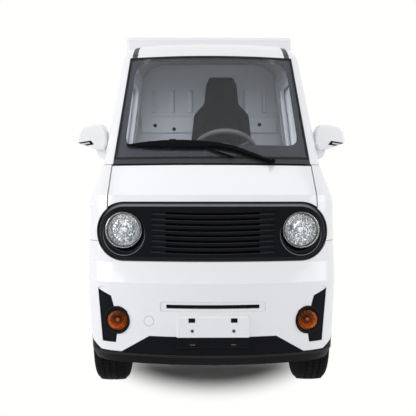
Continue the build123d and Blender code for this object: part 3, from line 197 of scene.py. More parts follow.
def new_group(name, inputs, outputs):
    """An empty shader node group with value or colour sockets, and its two end nodes."""
    group = bpy.data.node_groups.new(name, "ShaderNodeTree")
    for label, value in inputs:
        kind = "NodeSocketColor" if isinstance(value, tuple) else "NodeSocketFloat"
        socket = group.interface.new_socket(name=label, in_out="INPUT", socket_type=kind)
        socket.default_value = value
    for label, kind in outputs:
        group.interface.new_socket(name=label, in_out="OUTPUT", socket_type=kind)
    return group, group.nodes.new("NodeGroupInput"), group.nodes.new("NodeGroupOutput")


def place_group(tree, group, **values):
    """A use of a node group in a material, with its own values."""
    return add_node(tree, "Group", {label.title(): value for label, value in values.items()}, node_tree=group)


def blend(tree, share, first, second, **settings):
    """Two colours mixed."""
    return add_node(tree, "Mix", {0: share, 6: first, 7: second}, data_type="RGBA", **settings).outputs[2]


def upward(tree, node):
    """How far the normal that a node gives points up."""
    return add_node(tree, "SeparateXYZ", {0: node.outputs["Normal"]}).outputs["Z"]


road_dust, ends, out = new_group(
    "road_dust",
    [("Paint", (0.5, 0.5, 0.5, 1)), ("Dust", (0.20, 0.185, 0.165, 1)), ("Amount", 0.5), ("Reach", 0.6)],
    [("Colour", "NodeSocketColor"), ("Cover", "NodeSocketFloat")],
)
coordinates = surface_place(road_dust)
axes = add_node(road_dust, "SeparateXYZ", {0: coordinates})
fall = remap(road_dust, axes.outputs["Z"], 0.0, ends.outputs["Reach"], 1.0, 0.0)
patches = add_node(road_dust, "TexNoise", {"Scale": 7.0, "Detail": 6.0, "Vector": coordinates})
broken = reckon(road_dust, "MULTIPLY", fall, patches.outputs["Fac"])
cover = reckon(road_dust, "MULTIPLY", broken, ends.outputs["Amount"], use_clamp=True)
dusted = blend(road_dust, cover, ends.outputs["Paint"], ends.outputs["Dust"])
feed(road_dust, out, {"Colour": dusted, "Cover": cover})

surface_grain, ends, out = new_group(
    "surface_grain",
    [("Scale", 600.0), ("Smoothest", 0.4), ("Roughest", 0.6)],
    [("Roughness", "NodeSocketFloat"), ("Height", "NodeSocketFloat")],
)
coordinates = surface_place(surface_grain)
grain = add_node(surface_grain, "TexNoise", {"Detail": 4.0, "Vector": coordinates, "Scale": ends.outputs["Scale"]})
cloud = add_node(surface_grain, "TexNoise", {"Scale": 5.0, "Vector": coordinates})
spread = remap(surface_grain, cloud.outputs["Fac"], 0.3, 0.7, ends.outputs["Smoothest"], ends.outputs["Roughest"])
feed(surface_grain, out, {"Roughness": spread, "Height": grain.outputs["Fac"]})

# Painted highlight: where an eased edge tips its normal upward, its colour turns to the lit colour.
lit_edge, ends, out = new_group(
    "lit_edge",
    [("Plain", (0.5, 0.5, 0.5, 1)), ("Lit", (0.5, 0.5, 0.5, 1)), ("Radius", 0.003)],
    [("Colour", "NodeSocketColor")],
)
rounded = add_node(lit_edge, "Bevel", {"Radius": ends.outputs["Radius"]}, samples=6)
true_face = add_node(lit_edge, "NewGeometry")
tipped = reckon(lit_edge, "SUBTRACT", upward(lit_edge, rounded), upward(lit_edge, true_face), use_clamp=True)
lip = remap(lit_edge, tipped, 0.0, 0.45)
lipped = blend(lit_edge, lip, ends.outputs["Plain"], ends.outputs["Lit"])
feed(lit_edge, out, {"Colour": lipped})


def coated_finish(name, colour, grain, gloss, relief, dust=None, edge=0.0, lip=None, more=None):
    """A finish with uneven gloss, a fine grain, eased edges, painted highlights on upper edges and road dust."""
    material, tree, shader = start_finish(name, more)
    top_coat = shader.inputs["Base Color"]
    if lip:
        painted_edge_highlight = place_group(tree, lit_edge, lit=lip, radius=LIP_RADIUS)
        tree.links.new(painted_edge_highlight.outputs["Colour"], top_coat)
        top_coat = painted_edge_highlight.inputs["Plain"]
    if dust:
        film = place_group(tree, road_dust, paint=colour, amount=dust[0], reach=dust[1])
        tree.links.new(film.outputs["Colour"], top_coat)
    else:
        top_coat.default_value = colour
    skin = place_group(tree, surface_grain, scale=grain, smoothest=gloss[0], roughest=gloss[1])
    bump = add_node(tree, "Bump", {"Strength": relief, "Distance": GRAIN_DEPTH, "Height": skin.outputs["Height"]})
    if edge:
        easing = add_node(tree, "Bevel", {"Radius": edge}, samples=6)
        feed(tree, bump, {"Normal": easing.outputs["Normal"]})
    feed(tree, shader, {"Roughness": skin.outputs["Roughness"], "Normal": bump.outputs["Normal"]})
    return material


def dress(finish, *names):
    """Gives CAD pieces their finish."""
    for name in names:
        for place in nodes[name].material_slots:
            place.material = finish


def fit(mesh, name, finish, smooth=None, body="truck"):
    """Makes a new piece with its finish that moves with its body."""
    piece = make_piece(mesh, name, finish, smooth)
    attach(piece, body)
    return piece


frame_paint = coated_finish("frame_paint", (0.016, 0.016, 0.017, 1), 300, (0.35, 0.55), 0.15, (0.8, 0.7))
dress(frame_paint, "chassis_frame")


def add_bolt(mesh, place, direction, radius, height):
    """A hexagon bolt head on a round washer, standing on a surface."""
    away = Vector(direction).normalized()
    turn = away.to_track_quat("Z", "Y").to_matrix().to_4x4()
    seat = Matrix.Translation(Vector(place) + away * height * 0.1) @ turn
    bmesh.ops.create_cone(
        mesh, cap_ends=True, segments=16, radius1=radius * 1.5, radius2=radius * 1.4, depth=height * 0.2, matrix=seat
    )
    head = Matrix.Translation(Vector(place) + away * height * 0.6) @ turn
    bmesh.ops.create_cone(
        mesh, cap_ends=True, segments=6, radius1=radius, radius2=radius * 0.92, depth=height * 0.8, matrix=head
    )


zinc_steel = coated_finish(
    "zinc_steel", (0.42, 0.42, 0.40, 1), 400, (0.3, 0.5), 0.15, (0.6, 0.5), more={"Metallic": 0.9}
)
frame_bolts = bmesh.new()
for side in (-1, 1):
    for along in BOLT_ROWS:
        for height in BOLT_HEIGHTS:
            add_bolt(frame_bolts, (side * FRAME_SIDE, along, height), (side, 0, 0), 0.008, 0.008)
fit(frame_bolts, "frame_bolts", zinc_steel)

# Axles, steering knuckles and leaf springs: forged and cast iron with a thin black wash,
# each spring clamped to its pad by two U-bolts.
CLIP_WIRE = 0.006
CLIP_HALF = 0.031
CLIP_FOOT = 0.232
CLIP_RISE = 0.004
CLIP_SHIFT = 0.032
SPRING_SIDE = 0.220
SPRING_PADS = [
    # along, top of the leaves
    (-1.170, 0.327),
    (1.000, 0.342),
]
axle_iron = coated_finish(
    "axle_iron", (0.045, 0.042, 0.038, 1), 220, (0.5, 0.75), 0.4, (0.9, 0.6), more={"Metallic": 0.6}
)
spring_steel = coated_finish(
    "spring_steel", (0.05, 0.05, 0.052, 1), 260, (0.4, 0.6), 0.25, (0.7, 0.6), more={"Metallic": 0.7}
)
dress(axle_iron, "front_axle", "rear_axle", "knuckle_left", "knuckle_right")
dress(spring_steel, "leaf_springs")


def joined_edges(corners):
    """The edges that meet these corners, each once and always in the same order."""
    return list(dict.fromkeys(edge for corner in corners for edge in corner.link_edges))


def pull(mesh, edges, offset):
    """Extrudes a ring of edges by an offset and returns the new ring."""
    grown = bmesh.ops.extrude_edge_only(mesh, edges=edges)["geom"]
    corners = {part for part in grown if isinstance(part, bmesh.types.BMVert)}
    bmesh.ops.translate(mesh, verts=list(corners), vec=offset)
    return [part for part in grown if isinstance(part, bmesh.types.BMEdge) and corners.issuperset(part.verts)]


def face_out(mesh):
    """Turns every face to the outside."""
    bmesh.ops.recalc_face_normals(mesh, faces=mesh.faces)


clip_mesh = bmesh.new()
for side in (-1, 1):
    for along, leaf_top in SPRING_PADS:
        for shift in (-CLIP_SHIFT, CLIP_SHIFT):
            foot = Matrix.Translation((side * SPRING_SIDE - CLIP_HALF, along + shift, CLIP_FOOT))
            ring = bmesh.ops.create_circle(clip_mesh, segments=8, radius=CLIP_WIRE, matrix=foot)["verts"]
            rise = leaf_top + CLIP_RISE - CLIP_FOOT
            edges = pull(clip_mesh, joined_edges(ring), (0, 0, rise))
            turned = bmesh.ops.spin(
                clip_mesh,
                geom=edges + list(dict.fromkeys(corner for edge in edges for corner in edge.verts)),
                cent=(side * SPRING_SIDE, along + shift, leaf_top + CLIP_RISE),
                axis=(0, 1, 0),
                angle=pi,
                steps=10,
            )["geom_last"]
            pull(clip_mesh, [part for part in turned if isinstance(part, bmesh.types.BMEdge)], (0, 0, -rise))
bmesh.ops.remove_doubles(clip_mesh, verts=clip_mesh.verts, dist=0.00005)
face_out(clip_mesh)
fit(clip_mesh, "spring_clips", zinc_steel, smooth=40)

# Battery and drive motor: a sealed sheet-steel case slung between the rails, its lid held by bolts,
# and a cast aluminium motor with cooling fins on the rear axle's gear case.
battery_case = coated_finish("battery_case", (0.13, 0.14, 0.15, 1), 300, (0.4, 0.6), 0.2, (0.8, 0.6), 0.004)
motor_metal = coated_finish(
    "motor_metal", (0.42, 0.42, 0.43, 1), 180, (0.4, 0.6), 0.5, (0.6, 0.6), more={"Metallic": 0.8}
)
dress(battery_case, "battery_pack")
dress(motor_metal, "drive_motor")
CASE_BOLTS = [
    # across, height, direction
    (0.160, 0.500, (0, 0, 1)),
    (0.150, 0.260, (0, 0, -1)),
]
lid_bolts = bmesh.new()
for row in range(9):
    for side in (-1, 1):
        for across, height, direction in CASE_BOLTS:
            add_bolt(lid_bolts, (side * across, -0.77 + row * 0.155, height), direction, 0.006, 0.006)
fit(lid_bolts, "battery_lid_bolts", zinc_steel)

MOTOR_PLACE = Vector((-0.070, 0.835, 0.295))
FIN_COUNT = 9
FIN_START = -0.076
FIN_PITCH = 0.018
FIN_ROOT = 0.0955
FIN_TIP = 0.107


def spin_profile(mesh, points, centre, axis, steps, outward=(0, 0, 1)):
    """Turns a profile of (along the axis, radius) points about an axis through a centre."""
    line = [mesh.verts.new(centre + Vector(axis) * along + Vector(outward) * radius) for along, radius in points]
    edges = [mesh.edges.new(pair) for pair in zip(line, line[1:])]
    bmesh.ops.spin(mesh, geom=line + edges, cent=centre, axis=axis, angle=2 * pi, steps=steps, use_merge=True)
    bmesh.ops.remove_doubles(mesh, verts=mesh.verts, dist=0.00005)


fin_mesh = bmesh.new()
fin_line = []
for fin in range(FIN_COUNT):
    start = FIN_START + fin * FIN_PITCH
    fin_line += [(start, FIN_ROOT), (start + 0.001, FIN_TIP), (start + 0.005, FIN_TIP), (start + 0.006, FIN_ROOT)]
spin_profile(fin_mesh, fin_line, MOTOR_PLACE, (1, 0, 0), 48)
face_out(fin_mesh)
fit(fin_mesh, "motor_fins", motor_metal, smooth=40)

# Wheels: pressed steel rims in silver paint, each held by four nuts round a plated hub cap,
# with narrow ribbed tyres cut into blocks.
TYRE_PROFILE = [
    # distance from the middle, radius
    (-0.075, 0.1656), (-0.086, 0.176), (-0.0895, 0.200), (-0.0900, 0.222), (-0.0884, 0.224), (-0.0878, 0.234),
    (-0.0858, 0.2430), (-0.0825, 0.2505), (-0.0780, 0.2565), (-0.0725, 0.2615), (-0.065, 0.2650), (-0.036, 0.2682),
    (-0.031, 0.2685), (-0.0035, 0.2692), (0.0035, 0.2692), (0.031, 0.2685), (0.036, 0.2682), (0.065, 0.2650),
    (0.0725, 0.2615), (0.0780, 0.2565), (0.0825, 0.2505), (0.0858, 0.2430), (0.0878, 0.234), (0.0884, 0.224),
    (0.0900, 0.222), (0.0895, 0.200), (0.086, 0.176), (0.075, 0.1656),
]
TREAD_STEPS = 72
TREAD_DEPTH = 0.0055
TREAD_ROOT = 0.262
TREAD_EDGE = 0.0016
RIB_LIMITS = [(-0.066, -0.0355), (-0.0315, -0.003), (0.003, 0.0315), (0.0355, 0.066)]
WHEELS = [
    # name, side, axle
    ("front_left", 1, -1.170),
    ("front_right", -1, -1.170),
    ("rear_left", 1, 1.000),
    ("rear_right", -1, 1.000),
]
TRACK_HALF = 0.542
AXLE_HEIGHT = 0.275
NUT_CIRCLE = 0.055
NUT_SEAT = 0.026
NUT_RADIUS = 0.0095
NUT_HEIGHT = 0.018
CAP_PROFILE = [(0.0335, 0.036), (0.043, 0.035), (0.050, 0.029), (0.053, 0.018), (0.054, 0.0)]
tyre_rubber = coated_finish(
    "tyre_rubber", (0.0040, 0.0041, 0.0052, 1), 900, (0.7, 0.9), 0.3, (0.04, 0.5), more={"Specular IOR Level": 0.08}
)
rim_paint = coated_finish(
    "rim_paint", (0.42, 0.43, 0.44, 1), 500, (0.3, 0.45), 0.05, (0.5, 0.5), 0.002, more={"Metallic": 0.55}
)
for name, side, axle in WHEELS:
    middle = Vector((side * TRACK_HALF, axle, AXLE_HEIGHT))
    tyre_mesh = bmesh.new()
    spin_profile(tyre_mesh, TYRE_PROFILE + TYRE_PROFILE[:1], middle, (1, 0, 0), TREAD_STEPS)
    face_out(tyre_mesh)
    for low, high in RIB_LIMITS:
        blocks = []
        for face in tyre_mesh.faces:
            across = [corner.co.x - middle.x for corner in face.verts]
            outer = [(corner.co - Vector((corner.co.x, axle, AXLE_HEIGHT))).length for corner in face.verts]
            if low < min(across) and max(across) < high and min(outer) > TREAD_ROOT:
                blocks.append(face)
        bmesh.ops.inset_individual(tyre_mesh, faces=blocks, thickness=TREAD_EDGE, depth=TREAD_DEPTH)
    tyre = fit(tyre_mesh, "tyre_tread_" + name, tyre_rubber, smooth=35, body="wheel_" + name)
    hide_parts("tyre_" + name)
    dress(rim_paint, "rim_" + name)
    hub_mesh = bmesh.new()
    away = Vector((side, 0, 0))
    spin_profile(hub_mesh, CAP_PROFILE, middle, away, 32)
    face_out(hub_mesh)
    for nut in range(4):
        turn = pi / 4 + nut * pi / 2
        around = Vector((0, cos(turn), sin(turn))) * NUT_CIRCLE
        add_bolt(hub_mesh, middle + around + away * NUT_SEAT, away, NUT_RADIUS, NUT_HEIGHT)
    fit(hub_mesh, "hub_cap_and_nuts_" + name, zinc_steel, smooth=35, body="wheel_" + name)

# Cab floor: a painted steel pan with an upright bulkhead, a ribbed rubber mat lying on it,
# and moulded liners over the front wheels.
MAT_HALF = (0.46, 0.23)
MAT_MIDDLE = (0.0, -1.075, 0.6205)
MAT_WALL = 0.003
MAT_GROOVE = 0.004
cabin_plastic = coated_finish(
    "cabin_plastic", (0.075, 0.075, 0.08, 1), 700, (0.5, 0.65), 0.25, edge=0.004, more={"Specular IOR Level": 0.3}
)
# Its lip colour paints a highlight on upper edges.
black_plastic = coated_finish(
    "black_plastic", (0.0052, 0.0056, 0.0078, 1), 800, (0.42, 0.56), 0.22, (0.02, 0.5), 0.002, (0.05, 0.053, 0.062, 1),
    more={"Specular IOR Level": 0.05},
)
dress(cabin_plastic, "cab_floor")
dress(black_plastic, "wheel_liners")


def thicken(mesh, wall):
    """Gives a skin a wall behind it, or in front where the wall is negative."""
    bmesh.ops.solidify(mesh, geom=mesh.faces[:], thickness=wall)


mat_mesh = bmesh.new()
mat_place = Matrix.Translation(MAT_MIDDLE) @ Matrix.Diagonal((*MAT_HALF, 1, 1))
bmesh.ops.create_grid(mat_mesh, x_segments=24, y_segments=8, size=1, matrix=mat_place)
bmesh.ops.inset_individual(mat_mesh, faces=mat_mesh.faces[:], thickness=MAT_GROOVE, depth=MAT_WALL)
thicken(mat_mesh, -MAT_WALL)
face_out(mat_mesh)
mat_rubber = coated_finish(
    "mat_rubber", (0.018, 0.018, 0.019, 1), 900, (0.6, 0.8), 0.3, more={"Specular IOR Level": 0.25}
)
fit(mat_mesh, "floor_mat", mat_rubber)

# Painted panels of the cab: pressed sheet in gloss white under clear coat,
# hung on the side frames with narrow even gaps.
WHITE = (0.785, 0.792, 0.825, 1)
white_paint = coated_finish(
    "white_paint", WHITE, 1500, (0.29, 0.33), 0.02, (0.03, 0.45), 0.003,
    more={"Coat Weight": 0.6, "Coat Roughness": 0.06},
)
dress(white_paint, "cab_side_frames", "corner_panels", "front_bumper", "hood", "roof_panel", "door_left", "door_right")

# Bumper fittings: a square plug and a round grommet beside each other at either end of the plate place,
# pressed into holes, and a woven mesh behind the narrow air slot.
FRONT = -1.750
PLUG_MIDDLE = (0.102, 0.430)
PLUG_HALF = (0.0158, 0.0106)
PLUG_STAND = 0.0015
PLUG_DEPTH = 0.016
GROMMET_MIDDLE = (0.100, 0.379)
GROMMET_PROFILE = [
    # height over the bumper, radius
    (-0.006, 0.0034), (0.0022, 0.0040), (0.0030, 0.0052), (0.0026, 0.0066), (0.0, 0.0074), (-0.003, 0.0074),
]
dress(black_plastic, "bumper_skirt")


def round_edges(mesh, corners, edge):
    """Rounds the edges that meet these corners; gives back the new faces."""
    return bmesh.ops.bevel(
        mesh, geom=joined_edges(corners), offset=edge, offset_type="OFFSET", segments=2, profile=0.5,
        affect="EDGES", material=-1,
    )["faces"]


def add_block(mesh, low, high, edge):
    """A block between two corners with its edges rounded; gives back its faces."""
    size = Vector(high) - Vector(low)
    place = Matrix.Translation((Vector(low) + Vector(high)) / 2) @ Matrix.Diagonal((*size, 1))
    made = round_edges(mesh, bmesh.ops.create_cube(mesh, size=1, matrix=place)["verts"], edge)
    around = [near for face in made for line in face.edges for near in line.link_faces]
    return list(dict.fromkeys(made + around))


fitting_mesh = bmesh.new()
for side in (-1, 1):
    across, height = side * PLUG_MIDDLE[0], PLUG_MIDDLE[1]
    plug = add_block(
        fitting_mesh,
        (across - PLUG_HALF[0], FRONT - PLUG_STAND, height - PLUG_HALF[1]),
        (across + PLUG_HALF[0], FRONT + PLUG_DEPTH, height + PLUG_HALF[1]),
        0.0014,
    )
    face = min(plug, key=lambda one: one.calc_center_median().y)
    bmesh.ops.inset_region(fitting_mesh, faces=[face], thickness=0.0026, depth=-0.004)
    spot = Vector((side * GROMMET_MIDDLE[0], FRONT, GROMMET_MIDDLE[1]))
    spin_profile(fitting_mesh, GROMMET_PROFILE, spot, (0, -1, 0), 24)
face_out(fitting_mesh)
fit(fitting_mesh, "plate_plugs_and_grommets", black_plastic, smooth=35)


def upright_grid(mesh, middle, half, parts):
    """A flat grid that stands across the truck, with its half sizes and its parts each way."""
    stand = Matrix.Translation(middle) @ Matrix.Rotation(pi / 2, 4, "X") @ Matrix.Diagonal((*half, 1, 1))
    bmesh.ops.create_grid(mesh, x_segments=parts[0], y_segments=parts[1], size=1, matrix=stand)


SLOT_HALF = 0.224
SLOT_LOW = 0.485
SLOT_HIGH = 0.502
SLOT_BACK = 0.020
MESH_WIRE = 0.0009
BUMPER_BOW = 1.300
intake_mesh = bmesh.new()
slot_size = (SLOT_HALF, (SLOT_HIGH - SLOT_LOW) / 2)
upright_grid(intake_mesh, (0, FRONT, (SLOT_LOW + SLOT_HIGH) / 2), slot_size, (56, 3))
for corner in intake_mesh.verts:
    corner.co.y += SLOT_BACK + BUMPER_BOW - (BUMPER_BOW**2 - corner.co.x**2) ** 0.5
openings = bmesh.ops.inset_individual(intake_mesh, faces=intake_mesh.faces[:], thickness=MESH_WIRE)["faces"]
holes = [face for face in intake_mesh.faces if face not in set(openings)]
bmesh.ops.delete(intake_mesh, geom=holes, context="FACES")
thicken(intake_mesh, 0.002)
face_out(intake_mesh)
fit(intake_mesh, "intake_mesh", black_plastic)

# Grille: one moulded gloss-black panel with tilted slats and a funnel round each lamp.
# Behind the slats stands the finned core that cools the drive.
# Its lip colour paints highlights on the upper edges of slats and funnels.
grille_plastic = coated_finish(
    "grille_plastic", (0.0035, 0.0038, 0.0056, 1), 900, (0.29, 0.36), 0.05, edge=0.002, lip=(0.07, 0.074, 0.086, 1),
    more={"Specular IOR Level": 0.07},
)
dress(grille_plastic, "grille_panel")
RIM_STRAIGHT = 0.4415
RIM_HEIGHT = 0.8515
RIM_FROM = 0.1258
RIM_TO = 0.1280
HIGHLIGHT_RING_MIDDLE = (0.4445, 0.842)
HIGHLIGHT_RING_RADIUS = 0.108
HIGHLIGHT_RING_HALF = 0.0012


def offset_length(tree, across, height):
    """How far a point lies from a middle, by its offsets across and in height."""
    offset = add_node(tree, "CombineXYZ", {"X": across, "Z": height})
    return add_node(tree, "VectorMath", {0: offset.outputs[0]}, operation="LENGTH").outputs["Value"]


# Painted highlights: the rim's upward-facing chamfer and a thin ring line below each lamp are painted light grey.
tree = grille_plastic.node_tree
shader = tree.nodes["Principled BSDF"]
axes = add_node(tree, "SeparateXYZ", {0: surface_place(tree)})
to_side = reckon(tree, "ABSOLUTE", axes.outputs["X"])
past_straight = remap(tree, to_side, RIM_STRAIGHT, RIM_STRAIGHT + 1)
above_middle = reckon(tree, "SUBTRACT", axes.outputs["Z"], RIM_HEIGHT)
rim_distance = offset_length(tree, past_straight, above_middle)
bright_rim = remap(tree, rim_distance, RIM_FROM, RIM_TO, interpolation_type="SMOOTHSTEP")
upper_rim = remap(tree, upward(tree, add_node(tree, "NewGeometry")), 0.30, 0.70)
rim_light = reckon(tree, "MULTIPLY", bright_rim, upper_rim)
beside_lamp = reckon(tree, "SUBTRACT", to_side, HIGHLIGHT_RING_MIDDLE[0])
over_lamp = reckon(tree, "SUBTRACT", axes.outputs["Z"], HIGHLIGHT_RING_MIDDLE[1])
highlight_ring = reckon(tree, "COMPARE", offset_length(tree, beside_lamp, over_lamp), HIGHLIGHT_RING_RADIUS, HIGHLIGHT_RING_HALF)
under_lamp = remap(tree, over_lamp, 0.04, -0.06)
lower_ring_highlight = reckon(tree, "MULTIPLY", highlight_ring, under_lamp)
rim_and_ring_highlights = reckon(tree, "MAXIMUM", rim_light, lower_ring_highlight)
painted_rim_highlight = blend(tree, rim_and_ring_highlights, shader.inputs["Base Color"].links[0].from_socket, (0.23, 0.24, 0.27, 1))
feed(tree, shader, {"Base Color": painted_rim_highlight, "Coat Weight": bright_rim, "Coat Roughness": 0.18, "Coat IOR": 1.3})
CORE_LOW = (-0.270, -1.615, 0.730)
CORE_HIGH = (0.270, -1.575, 0.975)
TANK_MIDDLE = 0.285
TANK_HALF = 0.018
core_metal, tree, shader = start_finish(
    "core_metal", {"Base Color": (0.02, 0.02, 0.021, 1), "Metallic": 0.4, "Specular IOR Level": 0.2}
)
fins = add_node(
    tree, "TexWave", {"Scale": 160.0, "Distortion": 0.4, "Vector": surface_place(tree)}, bands_direction="X"
)
fin_bump = add_node(tree, "Bump", {"Strength": 0.8, "Distance": 0.002, "Height": fins.outputs["Fac"]})
fin_gloss = remap(tree, fins.outputs["Fac"], 0.0, 1.0, 0.45, 0.75)
feed(tree, shader, {"Normal": fin_bump.outputs["Normal"], "Roughness": fin_gloss})
core_mesh = bmesh.new()
add_block(core_mesh, CORE_LOW, CORE_HIGH, 0.004)
for side in (-1, 1):
    tank = side * TANK_MIDDLE
    add_block(core_mesh, (tank - TANK_HALF, -1.622, 0.722), (tank + TANK_HALF, -1.568, 0.983), 0.008)
fit(core_mesh, "cooling_core", core_metal, smooth=35)

# Headlamps: a metallised bowl pressed in small mirror facets, a bulb under a bright cap
# and a bright ring, behind a clear polycarbonate lens.
LAMP_MIDDLE = (0.4445, 0.860)
BOWL_LINE = [
    # depth behind the front, radius
    (0.1545, 0.0800), (0.1665, 0.0710), (0.1790, 0.0610), (0.1875, 0.0510), (0.1940, 0.0400), (0.1985, 0.0290),
    (0.2010, 0.0190),
]
BOWL_FACETS = 22
RING_LINE = [
    (0.1400, 0.0860), (0.1385, 0.0895), (0.1405, 0.0912), (0.1450, 0.0912), (0.1560, 0.0830), (0.1545, 0.0800),
]
GAP_LINE = [(0.1530, 0.0826), (0.1515, 0.0815), (0.1515, 0.0795), (0.1530, 0.0785)]
CAP_LINE = [(0.2010, 0.0150), (0.1650, 0.0140), (0.1600, 0.0128), (0.1575, 0.0090), (0.1565, 0.0)]
reflector = coated_finish("reflector", (0.80, 0.81, 0.82, 1), 300, (0.06, 0.14), 0.02, more={"Metallic": 1.0})
dress(reflector, "headlamp_bowls")
# The facets' colours are painted reflections: each facet is painted dark or bright, as if it mirrored dark or bright
# surroundings.
FACET_PAINTED_REFLECTIONS = [
    # place, colour
    (0.30, (0.27, 0.275, 0.295, 1)),
    (0.72, (0.95, 0.957, 0.98, 1)),
]


def ramp(tree, share, stops):
    """A colour that follows a value through its stops."""
    node = add_node(tree, "ValToRGB", {"Fac": share})
    elements = node.color_ramp.elements
    for number, (place, colour) in enumerate(stops):
        stop = elements[number] if number < 2 else elements.new(place)
        stop.position = place
        stop.color = colour
    return node.outputs["Color"]


facet_metal, tree, shader = start_finish("facet_metal", {"Metallic": 1.0})
flutes = add_node(tree, "Mapping", {"Scale": (1.0, 0.5, 0.45), "Vector": surface_place(tree)})
facets = add_node(tree, "TexVoronoi", {"Scale": 240.0, "Vector": flutes.outputs["Vector"]})
painted_facet_reflection = ramp(tree, facets.outputs["Color"], FACET_PAINTED_REFLECTIONS)
facet_gloss = remap(tree, facets.outputs["Distance"], 0.0, 1.0, 0.06, 0.16)
feed(tree, shader, {"Base Color": painted_facet_reflection, "Roughness": facet_gloss})
facet_mesh = bmesh.new()
trim_mesh = bmesh.new()
gap_mesh = bmesh.new()
for side in (-1, 1):
    spot = Vector((side * LAMP_MIDDLE[0], FRONT, LAMP_MIDDLE[1]))
    spin_profile(gap_mesh, GAP_LINE, spot, (0, 1, 0), 64)
    spin_profile(facet_mesh, BOWL_LINE, spot, (0, 1, 0), BOWL_FACETS)
    spin_profile(trim_mesh, RING_LINE, spot, (0, 1, 0), 64)
    spin_profile(trim_mesh, CAP_LINE, spot, (0, 1, 0), 32)
for face in facet_mesh.faces:
    if face.normal.y > 0:
        face.normal_flip()
bmesh.ops.inset_individual(facet_mesh, faces=facet_mesh.faces[:], thickness=0.0011, depth=0.0011)
thicken(facet_mesh, 0.0008)
face_out(trim_mesh)
fit(facet_mesh, "lamp_facets", facet_metal)
fit(trim_mesh, "lamp_rings_and_caps", reflector, smooth=30)
thicken(gap_mesh, 0.001)
face_out(gap_mesh)
fit(gap_mesh, "lamp_gap_rings", black_plastic, smooth=40)


def clear_finish(name, tint, roughness, ior):
    """Clear glass or plastic that lets lamp light through to what is behind it."""
    material, tree, shader = start_finish(name, {"Base Color": tint, "IOR": ior, "Transmission Weight": 1.0})
    skin = place_group(tree, surface_grain, scale=40.0, smoothest=roughness, roughest=roughness + 0.015)
    feed(tree, shader, {"Roughness": skin.outputs["Roughness"]})
    through = add_node(tree, "BsdfTransparent", {"Color": tint})
    path = add_node(tree, "LightPath")
    end_in_mix(tree, path.outputs["Is Shadow Ray"], shader.outputs["BSDF"], through.outputs["BSDF"])
    return material


lamp_glass = clear_finish("lamp_glass", (0.97, 0.98, 0.98, 1), 0.0, 1.45)
dress(lamp_glass, "headlamp_lenses")

# Turn signals: a clear amber lens over a bright bowl with a bulb in it, whose rings and flutes are painted light and
# shade, in a black trim let into the bumper's corner, with a dished ring that lies on the bumper round it.
SIGNAL_MIDDLE = (0.4715, 0.417)
LENS_LINE = [
    # depth behind the front, radius
    (0.1120, 0.0482), (0.0990, 0.0482), (0.0960, 0.0465), (0.0930, 0.0425), (0.0938, 0.0405), (0.0915, 0.0380),
    (0.0885, 0.0280), (0.0860, 0.0160), (0.0845, 0.0),
]
SOCKET_LINE = [
    (0.1140, 0.0478), (0.1190, 0.0450), (0.1185, 0.0385), (0.1140, 0.0365), (0.1140, 0.0352), (0.1200, 0.0340),
    (0.1430, 0.0280), (0.1500, 0.0140), (0.1500, 0.0),
]
BULB_LINE = [(0.1490, 0.0090), (0.1300, 0.0095), (0.1230, 0.0120), (0.1140, 0.0120), (0.1080, 0.0085), (0.1060, 0.0)]
BEZEL_DEPTH = 0.0975
BEZEL_TILT = radians(23.7)
BEZEL_LINE = [
    # height over the bumper, radius
    (-0.008, 0.0690), (0.0025, 0.0690), (0.0040, 0.0678), (0.0040, 0.0655), (0.0032, 0.0605), (-0.0040, 0.0550),
    (-0.0120, 0.0537),
]
amber_lens = clear_finish("amber_lens", (0.90, 0.37, 0.0, 1), 0.0, 1.22)
dress(black_plastic, "signal_bezels")
dress(amber_lens, "signal_lenses")
lens_mesh = bmesh.new()
socket_mesh = bmesh.new()
bezel_mesh = bmesh.new()
for side in (-1, 1):
    spot = Vector((side * SIGNAL_MIDDLE[0], FRONT, SIGNAL_MIDDLE[1]))
    off_bumper = Vector((side * sin(BEZEL_TILT), -cos(BEZEL_TILT), 0))
    spin_profile(bezel_mesh, BEZEL_LINE, spot + Vector((0, BEZEL_DEPTH, 0)), off_bumper, 64)
    spin_profile(lens_mesh, LENS_LINE, spot, (0, 1, 0), 64)
    spin_profile(socket_mesh, SOCKET_LINE, spot, (0, 1, 0), 48)
    spin_profile(socket_mesh, BULB_LINE, spot, (0, 1, 0), 24)
face_out(lens_mesh)
thicken(lens_mesh, 0.0025)
face_out(socket_mesh)
signal_lens = fit(lens_mesh, "signal_lens_rings", amber_lens, smooth=40)
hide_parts("signal_lenses")
face_out(bezel_mesh)
thicken(bezel_mesh, 0.0015)
fit(bezel_mesh, "signal_bezel_rings", black_plastic, smooth=40)
# The bowl's colour is painted light: bright and dark rings and flutes as painted reflections, and darker towards the
# top as painted shade.
SOCKET_PAINTED_TONES = [
    # share of the lens radius, brightness
    (0.0, 0.80), (0.16, 0.60), (0.22, 0.03), (0.30, 0.06), (0.46, 0.35), (0.53, 0.04), (0.60, 1.0), (0.72, 1.0),
    (0.77, 0.08), (0.83, 0.80), (1.0, 0.80),
]
SOCKET_FLUTES = 11.0
SOCKET_RADIUS = 0.0485
socket_metal, tree, shader = start_finish("socket_metal", {"Metallic": 0.4, "Roughness": 0.25})
axes = add_node(tree, "SeparateXYZ", {0: surface_place(tree)})
to_side = reckon(tree, "ABSOLUTE", axes.outputs["X"])
beside_bulb = reckon(tree, "SUBTRACT", to_side, SIGNAL_MIDDLE[0])
over_bulb = reckon(tree, "SUBTRACT", axes.outputs["Z"], SIGNAL_MIDDLE[1])
share = remap(tree, offset_length(tree, beside_bulb, over_bulb), 0.0, SOCKET_RADIUS)
rings = ramp(tree, share, [(place, (tone, tone * 0.97, tone * 0.92, 1)) for place, tone in SOCKET_PAINTED_TONES])
round_bulb = reckon(tree, "ARCTAN2", over_bulb, beside_bulb)
flute = reckon(tree, "SINE", reckon(tree, "MULTIPLY", round_bulb, SOCKET_FLUTES))
